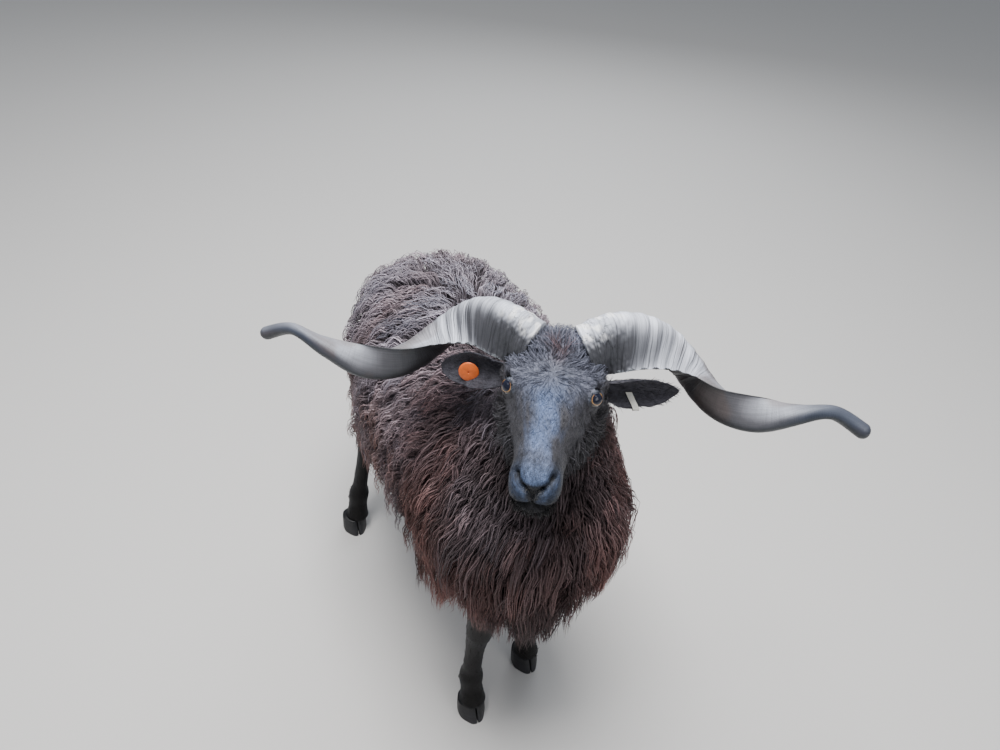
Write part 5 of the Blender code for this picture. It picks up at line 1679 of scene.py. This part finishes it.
def guides(tree, place, normal, part, chance):
    """The middle line of each lock, walked over the skin, with its normals."""
    count = len(place)
    lines = np.zeros((count, GUIDE_STEPS, 3))
    ups = np.zeros((count, GUIDE_STEPS, 3))
    lengths = np.zeros(count)
    for i in range(count):
        point, up = place[i].copy(), normal[i].copy()
        front = step_at((-0.14 - (point[1] - MOVE[1])) / 0.16)
        short = wool_length(point - MOVE)
        length = length_of(point, part) * chance.uniform(0.80, 1.22) * short
        lengths[i] = length
        depth = coat_depth(point, part) * chance.uniform(0.70, 1.0) * short * pulled_in(point)
        swing = chance.normal(0.0, 0.34 - 0.20 * front)
        way = lie_of(point, up, part)
        way = unit(way * math.cos(swing) + np.cross(up, way) * math.sin(swing))
        step = length / (GUIDE_STEPS - 1)
        rise_before = 0.0
        hanging = False
        on_side = up[2] > HANG_BELOW
        sag = 0.06 + 0.40 * front + 0.45 * step_at((-up[2] - 0.1) / 0.5)
        for k in range(GUIDE_STEPS):
            share = k / (GUIDE_STEPS - 1)
            rise = depth * smooth_step(min(share / RISE_BY, 1.0)) * (1 - 0.10 * share)
            lines[i, k] = point + up * rise
            lines[i, k, 2] -= sag * length * max(0.0, share - 0.35) ** 2
            ups[i, k] = up
            run = math.sqrt(max(step**2 - (rise - rise_before) ** 2, (0.35 * step) ** 2))
            rise_before = rise
            if hanging:
                way = unit(way * 0.5 + DOWN * 0.5)
                point = point + way * step
                continue
            found, new_up, _, _ = tree.find_nearest(Vector(point + way * run))
            if on_side and new_up[2] < HANG_BELOW and part != "tail":
                hanging = True
                point = point + way * run
                continue
            point, up = np.array(found), np.array(new_up)
            fall = lie_of(point, up, part)
            way = unit(way - up * (way @ up))
            way = unit(way * 0.86 + fall * 0.14)
        trim_to_hem(lines[i], ups[i], chance.normal(0, 0.010))
    return lines, ups, lengths


def trim_to_hem(line, ups, stray):
    """Shortens a lock in place so that it ends at the hem of the torso's wool."""
    x, y, _ = line[-1] - MOVE
    behind = float(np.clip(y - HEM_Y, -0.10, 0.10))
    lowest = np.interp(x - HEM_LEAN[0] * behind, HEM[:, 0], HEM[:, 1]) - HEM_LEAN[1] * behind
    lowest += stray - 0.30 * step_at((y + 0.20) / 0.12)
    under = np.nonzero(line[:, 2] < lowest)[0]
    if len(under) == 0 or under[0] == 0:
        return
    k = under[0]
    share = (line[k - 1, 2] - lowest) / max(line[k - 1, 2] - line[k, 2], 1e-6)
    last = max(k - 1 + share, 0.30 * (GUIDE_STEPS - 1))
    at = np.linspace(0, min(last, GUIDE_STEPS - 1), GUIDE_STEPS)
    steps = np.arange(GUIDE_STEPS)
    for axis in range(3):
        line[:, axis] = np.interp(at, steps, line[:, axis])
        ups[:, axis] = np.interp(at, steps, ups[:, axis])


def strand_axes(middle, up):
    """The directions along, across and over each point of strands, from their middle lines."""
    ahead = normalised(np.gradient(middle, axis=1))
    across = normalised(np.cross(up, ahead))
    return ahead, across, normalised(np.cross(ahead, across))


def strands_from(lines, ups, lengths, kind, strands, rings, chance):
    """Wavy, tapered strands round each guide, as points of three-sided bodies."""
    locks = len(lines)
    spread, closing, half_width, wave, wave_length, jitter, first = WOOL[kind]
    total = locks * strands
    pick = np.repeat(np.arange(locks), strands)
    reach = chance.uniform(0.80, 1.04, total)
    steps = np.append(0.0, np.linspace(first, 1, rings - 1))
    shares = steps[None, :] * reach[:, None]
    at = np.clip(shares, 0, 1) * (GUIDE_STEPS - 1)
    low = np.clip(np.floor(at).astype(int), 0, GUIDE_STEPS - 2)
    part_way = (at - low)[..., None]
    own, own_up = lines[pick], ups[pick]
    index = np.arange(total)[:, None]
    middle = own[index, low] * (1 - part_way) + own[index, low + 1] * part_way
    up = normalised(own_up[index, low] * (1 - part_way) + own_up[index, low + 1] * part_way)
    past = np.clip(shares - 1, 0, None)[..., None] * lengths[pick][:, None, None]
    ahead, across, over = strand_axes(middle, up)
    middle = middle + ahead * past
    angle = chance.uniform(0, 2 * np.pi, total)
    radius = spread * np.sqrt(chance.random(total))
    width = 1.0 - closing * np.clip(shares, 0, 1) ** 1.2
    aside = (radius * np.cos(angle))[:, None] * width
    above = (0.45 * radius * np.sin(angle))[:, None] * width * np.clip(shares * 3, 0, 1)
    travel = shares * lengths[pick][:, None]
    wave_length = wave_length * chance.uniform(0.8, 1.3, locks)[pick]
    phase = chance.uniform(0, 2 * np.pi, locks)[pick] + chance.normal(0, jitter, total)
    swell = wave * chance.uniform(0.6, 1.4, total) * chance.uniform(0.6, 1.4, locks)[pick]
    turn = 2 * np.pi * travel / wave_length[:, None] + phase[:, None]
    grow = np.clip(shares * 2.2, 0, 1)
    aside = aside + swell[:, None] * np.sin(turn) * grow
    above = above + 0.7 * swell[:, None] * np.cos(turn) * grow
    middle = middle + across * aside[..., None] + over * above[..., None]
    _, across, over = strand_axes(middle, over)
    profile = np.clip(1.15 - shares / reach[:, None], 0, 1) ** 0.6
    half = half_width * chance.uniform(0.55, 1.45, total)[:, None] * profile
    return middle, across, over, half, shares / reach[:, None], pick


def strand_mesh(name, middle, across, over, half, colours, places):
    """One mesh of many strands: three-sided bodies that end in a point."""
    total, rings = middle.shape[:2]
    left = middle - across * half[..., None]
    right = middle + across * half[..., None]
    ridge = middle + over * (half * 0.8)[..., None]
    body = np.stack([left, right, ridge], axis=2)[:, :-1]
    points = np.concatenate([body.reshape(total, -1, 3), middle[:, -1:]], axis=1)
    each = points.shape[1]
    k = np.arange(rings - 2)[:, None] * 3
    side = np.array([0, 1, 2])[None, :]
    after = np.array([1, 2, 0])[None, :]
    a, b, c, d = k + side, k + after, k + 3 + after, k + 3 + side
    quads = np.stack([a, b, c, a, c, d], axis=-1).reshape(-1, 3)
    last = (rings - 2) * 3
    tip = np.array([(last + i, last + (i + 1) % 3, each - 1) for i in range(3)])
    base = np.array([(0, 2, 1)])
    one = np.vstack([quads, tip, base])
    triangles = (one[None] + (np.arange(total) * each)[:, None, None]).reshape(-1, 3)
    mesh = mesh_from_arrays(name, points.reshape(-1, 3), triangles)
    ring_colours = np.repeat(colours[:, :-1], 3, axis=1)
    all_colours = np.concatenate([ring_colours, colours[:, -1:]], axis=1)
    set_attribute(mesh, "marking", "FLOAT_COLOR", with_alpha(all_colours.reshape(-1, 3)))
    add_bake_map(mesh, places, rings, each)
    return mesh


# The size of a strand's patch, as a share of the bake map.
PATCH = 0.003


def add_bake_map(mesh, places, rings, each):
    """Gives each strand a small patch of the bake map at its root's place on the skin's unwrap."""
    along = np.linspace(0.1, 0.9, rings)
    corners = np.zeros((each, 2))
    corners[:-1, 1] = np.repeat(along[:-1], 3)
    corners[:-1, 0] = np.tile([0.15, 0.85, 0.5], rings - 1)
    corners[-1] = (0.5, along[-1])
    uv = places[:, None] * (1 - PATCH) + corners[None] * PATCH
    uv = uv.reshape(-1, 2)
    layer = mesh.uv_layers.new(name="OFBake")
    loops = read_rows(mesh.loops, "vertex_index", np.int32, 1)[:, 0]
    layer.data.foreach_set("uv", uv[loops].astype(np.float32).ravel())


def build_fleece(skin, part, place, material):
    """The long wool, in locks of wavy strands."""
    points, triangles = points_of(skin), triangles_of(skin)
    tree = BVHTree.FromPolygons([Vector(p) for p in points], triangles.tolist())
    face_part = part[triangles[:, 0]]
    chance = np.random.default_rng(SEED)
    for on, region, kind, locks, strands, rings, pieces in FLEECE:
        keep = face_part == SKIN_PARTS.index(on)
        if on == "torso":
            in_front = points[triangles[:, 0], 1] < CHEST_LINE + MOVE[1]
            keep = keep & (in_front == (region == "chest"))
        if kind == "thigh":
            keep = keep & (points[triangles[:, 0], 2] > THIGH_LINE)
        root, normal, corner, area = scattered(points, triangles, keep, locks * 5, chance)
        spacing = 0.72 * math.sqrt(area / locks)
        chosen = evened(root, spacing, locks)
        root, normal, corner = root[chosen], normal[chosen], corner[chosen]
        free = wool_grows(root - MOVE)
        root, normal, corner = root[free], normal[free], corner[free]
        lines, ups, lengths = guides(tree, root, normal, on, chance)
        middle, across, over, half, shares, pick = strands_from(
            lines, ups, lengths, kind, strands, rings, chance)
        dark, tip = wool_colours(root[pick] - MOVE)
        tone = chance.lognormal(0, 0.26, len(pick)) * chance.lognormal(0, 0.22, len(root))[pick]
        colours = mix(dark[:, None], tip[:, None], smooth_step((shares - 0.15) / 0.80) ** 1.2)
        colours = colours * tone[:, None, None]
        uv = place[corner][pick]
        order = np.argsort(uv[:, 1], kind="stable")
        for number, rows in enumerate(np.array_split(order, pieces)):
            low, high = uv[rows, 1].min(), uv[rows, 1].max()
            own = uv[rows].copy()
            own[:, 1] = (own[:, 1] - low) / max(high - low, 1e-6)
            name = f"fleece_{region}_{number + 1}"
            mesh = strand_mesh(name, middle[rows], across[rows], over[rows], half[rows],
                               colours[rows], own)
            obj = add_object(name, mesh, material)
            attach(obj, "root")


def wool_grows(points):
    """Whether long wool grows at a place: everywhere but on the face."""
    own = in_head(points)
    on_face = (own[:, 1] < 0.235) & (np.abs(own[:, 0]) < 0.070) & (own[:, 2] > -0.090)
    return ~on_face


def wool_length(point):
    """The share of its full length that the wool has at a place: it is short round the face."""
    x, back, z = in_head(point)
    behind = step_at((back - 0.215) / 0.07)
    under = step_at((-0.10 - z) / 0.07)
    beside = step_at((abs(x) - 0.070) / 0.035)
    return 0.38 + 0.62 * max(behind, under, beside)


# Short hair: name, part, count, length, rise, half width and rings of each hair.
SHORT_HAIR = [
    ("face", "head", 9000, 0.0085, 0.0012, 0.00036, 4),
    ("poll", "head", 3300, 0.0330, 0.0115, 0.00052, 5),
    ("cheek", "head", 3000, 0.0480, 0.0200, 0.00062, 5),
    ("chin", "head", 700, 0.0130, 0.0050, 0.00050, 4),
    ("ear_left", "ear_left", 1000, 0.0080, 0.0014, 0.00038, 4),
    ("ear_right", "ear_right", 1000, 0.0080, 0.0014, 0.00038, 4),
]
for leg, hairs in (("front", 450), ("hind", 500)):
    for which in ("left", "right"):
        on_leg = f"leg_{leg}_{which}"
        SHORT_HAIR.append((on_leg, on_leg, hairs, 0.0100, 0.0014, 0.00050, 4))
# The forehead's whorl, as a distance back from the nose, and the hairs' bend and curl.
WHORL_BACK = 0.160
HAIR_BEND = 0.22
HAIR_CURL = 0.035


def short_lie(points, normals, part):
    """The way the short hair lies: to the nose below the forehead's whorl, to the nape above it."""
    if part.startswith("leg"):
        way = np.tile((0.0, 0.12, -1.0), (len(points), 1))
    elif part.startswith("ear"):
        side = 1 if part == "ear_left" else -1
        way = np.tile(ear_axes(side)[0] @ HEAD_FRAME.T, (len(points), 1))
    else:
        x, back, z = np.moveaxis(in_head(points - MOVE), -1, 0)
        nape = np.tanh((back - WHORL_BACK) / 0.020)
        side = np.tanh(x / 0.012)
        low = smooth_step((0.010 - z) / 0.05)
        fan = np.exp(-(((back - WHORL_BACK) / 0.030) ** 2))
        own = np.stack([side * (0.22 + 0.45 * fan), nape + 0.9 * low, -0.55 * low], axis=-1)
        way = own @ HEAD_FRAME.T
    way = way - normals * np.sum(way * normals, axis=1, keepdims=True)
    return normalised(way)


def long_on_head(points):
    """How far the hair of a place on the head is long: on the poll and behind the cheeks."""
    _, back, z = np.moveaxis(in_head(points - MOVE), -1, 0)
    poll = smooth_step((back - 0.165) / 0.035) * smooth_step((z - 0.005) / 0.025)
    cheek = 0.62 * smooth_step((back - 0.150) / 0.05) * smooth_step((-0.030 - z) / 0.03)
    return np.clip(poll + cheek, 0, 1)


def beard_on_head(points):
    """How far the hair of a place is long and hangs: along the cheek and the jaw."""
    _, back, z = np.moveaxis(in_head(points - MOVE), -1, 0)
    return smooth_step((back - 0.040) / 0.09) * smooth_step((-0.008 - z) / 0.040)


def chin_share(points):
    """How far a place is on the chin, under the mouth."""
    _, back, z = np.moveaxis(in_head(points - MOVE), -1, 0)
    return smooth_step((-0.046 - z) / 0.004) * smooth_step((0.060 - back) / 0.02)


def rooted_hair(points, triangles, normals, face_part, part, count, chance, long_share):
    """Places, normals and vertices where the short hair of one part grows."""
    keep = face_part == SKIN_PARTS.index(part)
    if long_share:
        keep = keep & (long_share(points[triangles[:, 0]]) > 0.25)
    root, _, corner, _ = scattered(points, triangles, keep, count, chance)
    free = np.ones(len(root), bool)
    if part == "head":
        own = in_head(root - MOVE)
        eye_gap = np.min([np.linalg.norm(own - (0, EYE_BACK, 0) - eye_axes(side)[0], axis=1)
                          for side in (1, -1)], axis=0)
        free = (groove_values(root - MOVE)[:, 1] < 0.04) & (eye_gap > EYE_RADIUS + 0.0035)
    return root[free], normals[corner[free]], corner[free]


# Where the longer kinds of short hair grow on the head.
LONG_SHARES = {"poll": long_on_head, "cheek": beard_on_head, "chin": chin_share}


def build_short_hair(skin, part, place, material):
    """Short hairs that break the outline of the head, the ears and the legs."""
    points, triangles, normals = points_of(skin), triangles_of(skin), normals_of(skin)
    face_part = part[triangles[:, 0]]
    chance = np.random.default_rng(SEED + 50)
    for name, on, count, length, rise, half, rings in SHORT_HAIR:
        long_share = LONG_SHARES.get(name)
        root, up, corner = rooted_hair(
            points, triangles, normals, face_part, on, count, chance, long_share)
        way = short_lie(root, up, on)
        swing = chance.normal(0, 0.30, len(root)) + 0.55 * drift(root, 0.030, 31)
        side = np.cross(up, way)
        way = way * np.cos(swing)[:, None] + side * np.sin(swing)[:, None]
        size = np.ones(len(root))
        if name == "face":
            behind = in_head(root - MOVE)[:, 1]
            size = 0.45 + 0.5 * smooth_step((behind - 0.02) / 0.08)
            size = size + smooth_step((behind - 0.11) / 0.05)
        if long_share:
            size = 0.15 + 0.85 * long_share(root)
        own_length = length * size * chance.uniform(0.6, 1.3, len(root))
        own_rise = rise * size * chance.uniform(0.4, 1.5, len(root))
        own_half = half * chance.uniform(0.7, 1.3, len(root))
        shares = np.linspace(0, 1, rings)[None, :]
        travel = own_length[:, None] * shares
        height = own_rise[:, None] * np.sin(shares * np.pi * 0.6) - travel**2 / 0.11 - 0.0005
        bend = chance.normal(0, HAIR_BEND, len(root))[:, None] * travel * shares
        start = chance.uniform(0, 6, (len(root), 1))
        curl = HAIR_CURL * own_length[:, None] * np.sin(shares * 7.0 + start)
        side = np.cross(up, way)
        middle = (root[:, None] + way[:, None] * travel[..., None]
                  + up[:, None] * height[..., None] + side[:, None] * (bend + curl)[..., None])
        _, across, over = strand_axes(middle, up[:, None])
        thin = own_half[:, None] * np.clip(1.15 - shares, 0, 1) ** 0.6
        near = root + chance.normal(0, 0.0022, root.shape)
        colour = skin_colours(near, np.full(len(root), SKIN_PARTS.index(on)))
        tone = chance.lognormal(0.05, 0.30, len(root))
        colours = colour[:, None] * (0.65 + 0.60 * shares)[..., None] * tone[:, None, None]
        mesh = strand_mesh(f"hair_{name}", middle, across, over, thin, colours, place[corner])
        obj = add_object(f"hair_{name}", mesh, material)
        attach(obj, "root")


# Lashes: their length, their number and rings, the length of the tufts' hairs, half width.
LASH = 0.0095
LASHES = 30
LASH_RINGS = 5
BROW_TUFT = 0.0130
LASH_HALF = 0.00040


def build_lashes(material):
    """Lashes along each upper lid, and the small tuft of long hairs above and behind each eye."""
    chance = np.random.default_rng(SEED + 70)
    roots, ways, ups, lengths, tones = [], [], [], [], []
    for side in (1, -1):
        centre, look, long, up = eye_axes(side)
        outer = long * np.sign(long[0] * side)
        for _ in range(LASHES):
            along = chance.uniform(-0.62, 0.70)
            edge = LID_HALF_UP * (1 - (along / LID_HALF_LONG) ** 2) ** 0.7 + 0.03
            spot = unit(look + outer * math.tan(along) + up * math.tan(edge))
            roots.append(centre + spot * (EYE_RADIUS + LID_THICK - 0.0006))
            ways.append(unit(spot + 0.45 * up + 0.55 * along * outer + chance.normal(0, 0.10, 3)))
            ups.append(up)
            lengths.append(LASH * chance.uniform(0.6, 1.2))
            tones.append(chance.uniform(0.3, 1.0))
        for _ in range(LASHES):
            spot = look * 0.55 + outer * chance.uniform(0.45, 0.70) + up * chance.uniform(0.35, 0.75)
            spot = unit(spot)
            roots.append(centre + spot * (EYE_RADIUS + LID_THICK - 0.0004))
            ways.append(unit(spot * 0.55 + outer * 0.65 + up * 0.25 + chance.normal(0, 0.14, 3)))
            ups.append(up)
            lengths.append(BROW_TUFT * chance.uniform(0.6, 1.2))
            tones.append(chance.uniform(2.0, 7.0))
    roots = in_world(np.array(roots)) + MOVE
    ways = np.array(ways) @ HEAD_FRAME.T
    ups = np.array(ups) @ HEAD_FRAME.T
    shares = np.linspace(0, 1, LASH_RINGS)[None, :]
    travel = np.array(lengths)[:, None] * shares
    curve = 0.22 * travel * shares
    middle = roots[:, None] + ways[:, None] * travel[..., None] + ups[:, None] * curve[..., None]
    _, across, over = strand_axes(middle, ups[:, None])
    half = LASH_HALF * np.clip(1.1 - shares, 0, 1) ** 0.6 * np.ones((len(roots), 1))
    colours = NOSE_BLACK * 2.5 * np.array(tones)[:, None, None] * np.ones((1, LASH_RINGS, 1))
    places = np.full((len(roots), 2), 0.5)
    mesh = strand_mesh("lashes", middle, across, over, half, colours, places)
    obj = add_object("lashes", mesh, material)
    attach(obj, "root")


# Dewclaws: distance out and radius, then their height and their distance to the leg's line.
DEWCLAW = [(0.000, 0.0068), (0.004, 0.0066), (0.008, 0.0052), (0.011, 0.0030), (0.0125, 0.0006)]
DEWCLAW_HEIGHT = 0.066
DEWCLAW_ASIDE = 0.0105


def build_dewclaws(material):
    """The two small claws behind each foot."""
    for name, (table, foot, top) in LEGS.items():
        back, _, deep = smooth_table(np.array(table)[::-1], [DEWCLAW_HEIGHT])[0]
        line_x, line_y = leg_line(table, foot, top, DEWCLAW_HEIGHT)
        for side, which in ((1, "left"), (-1, "right")):
            x, y = line_x + side * DEWCLAW_ASIDE, line_y + back + deep * 0.80
            way = unit((0.25 * side, 0.75, -0.60))
            rings = cylinder_rings(np.array((x, y, DEWCLAW_HEIGHT)) + MOVE, way, DEWCLAW, 20)
            points, triangles = loft_arrays(rings)
            mesh = mesh_from_arrays(f"dewclaw_{name}_{which}", points, triangles)
            set_attribute(mesh, "marking", "FLOAT_COLOR",
                          with_alpha(np.tile(HOOF_DARK, (len(points), 1))))
            obj = add_object(f"dewclaw_{name}_{which}", mesh, material)
            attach(obj, "root")


# The floor's half size, the sky, and the lamps: place, aim, size, watts and colour.
FLOOR_HALF = 14.0
SKY_COLOUR = (0.86, 0.92, 1.0, 1.0)
SKY_POWER = 0.34
LAMPS = [
    ("over", (-0.25, -0.05, 3.3), (0.0, -0.1, 0.5), 1.7, 185.0, (1.0, 0.985, 0.97)),
    ("front", (0.9, -3.0, 2.2), (0.0, -0.2, 0.5), 2.0, 22.0, (1.0, 0.97, 0.94)),
    ("back", (1.8, 2.6, 2.4), (0.0, 0.0, 0.5), 2.0, 45.0, (0.92, 0.96, 1.0)),
]


def build_floor_and_light():
    """A pale floor, an even sky and three soft lamps."""
    corners = [(FLOOR_HALF * x, FLOOR_HALF * y, 0) for x, y in ((-1, -1), (1, -1), (1, 1), (-1, 1))]
    mesh = bpy.data.meshes.new("floor")
    mesh.from_pydata(corners, [], [(0, 1, 2, 3)])
    made, _, shader = new_material("pale_floor")
    set_values(shader, Base_Color=(0.62, 0.61, 0.60, 1.0), Roughness=0.9)
    floor = add_object("floor", mesh, made)
    world = bpy.data.worlds.new("soft light")
    bpy.context.scene.world = world
    world.use_nodes = True
    background = world.node_tree.nodes["Background"]
    background.inputs["Color"].default_value = SKY_COLOUR
    background.inputs["Strength"].default_value = SKY_POWER
    for name, place, aim, size, power_w, colour in LAMPS:
        light = bpy.data.lights.new(name, "AREA")
        light.size, light.energy, light.color = size, power_w, colour
        lamp = bpy.data.objects.new(name, light)
        lamp.location = place
        way = Vector(aim) - Vector(place)
        lamp.rotation_mode = "QUATERNION"
        lamp.rotation_quaternion = way.to_track_quat("-Z", "Y")
        bpy.context.scene.collection.objects.link(lamp)


def build_camera():
    """The photograph's camera, as a matrix from its yaw, pitch and roll."""
    ahead_flat = np.array((math.sin(CAMERA_YAW), math.cos(CAMERA_YAW), 0.0))
    up = np.array((0.0, 0.0, 1.0))
    ahead = math.cos(CAMERA_PITCH) * ahead_flat - math.sin(CAMERA_PITCH) * up
    right = np.array((math.cos(CAMERA_YAW), -math.sin(CAMERA_YAW), 0.0))
    down = -math.sin(CAMERA_PITCH) * ahead_flat - math.cos(CAMERA_PITCH) * up
    cos, sin = math.cos(CAMERA_ROLL), math.sin(CAMERA_ROLL)
    image_right = cos * right - sin * down
    image_down = sin * right + cos * down
    data = bpy.data.cameras.new("camera")
    data.sensor_width = SENSOR_WIDTH
    data.lens = CAMERA_LENS
    camera = bpy.data.objects.new("camera", data)
    matrix = np.eye(4)
    matrix[:3, 0], matrix[:3, 1], matrix[:3, 2] = image_right, -image_down, -ahead
    matrix[:3, 3] = CAMERA_PLACE + MOVE
    camera.matrix_world = Matrix(matrix.tolist())
    bpy.context.scene.collection.objects.link(camera)
    bpy.context.scene.camera = camera


def build():
    build_camera()
    build_floor_and_light()
    skin, part, place = build_skin()
    points = points_of(skin)
    set_attribute(skin, "marking", "FLOAT_COLOR", with_alpha(skin_colours(points, part)))
    set_attribute(skin, "hair", "FLOAT_VECTOR", hair_places(points, part, place))
    wet = groove_values(points - MOVE)[:, 1] * (part == SKIN_PARTS.index("head"))
    set_attribute(skin, "wet", "FLOAT", wet)
    body = add_object("skin", skin, skin_material())
    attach(body, "root")
    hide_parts("torso", "neck", "tail", "head", "ear_left", "ear_right",
                "leg_front_left", "leg_front_right", "leg_hind_left", "leg_hind_right")
    horn = horn_material()
    eye = eye_material()
    for side, name in ((1, "left"), (-1, "right")):
        build_horn(side, name, horn)
        build_eye(side, name, eye)
    hoof = hoof_material()
    build_hooves(hoof)
    build_dewclaws(hoof)
    build_tags()
    build_fleece(skin, part, place, wool_material("wool", 0.62, 0.03))
    short = wool_material("short_hair", 0.50, 0.03)
    build_short_hair(skin, part, place, short)
    build_lashes(short)


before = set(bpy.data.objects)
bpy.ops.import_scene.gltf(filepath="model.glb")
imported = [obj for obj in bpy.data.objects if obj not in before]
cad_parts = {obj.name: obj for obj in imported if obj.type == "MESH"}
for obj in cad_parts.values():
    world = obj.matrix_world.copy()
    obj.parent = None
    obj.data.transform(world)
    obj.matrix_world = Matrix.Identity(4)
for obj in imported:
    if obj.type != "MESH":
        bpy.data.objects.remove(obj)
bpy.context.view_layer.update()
EYE_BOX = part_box("eye_left")
MOVE = (np.array(EYE_BOX[0]) + np.array(EYE_BOX[1])) / 2 - in_world(EYE_CENTRE)
build()
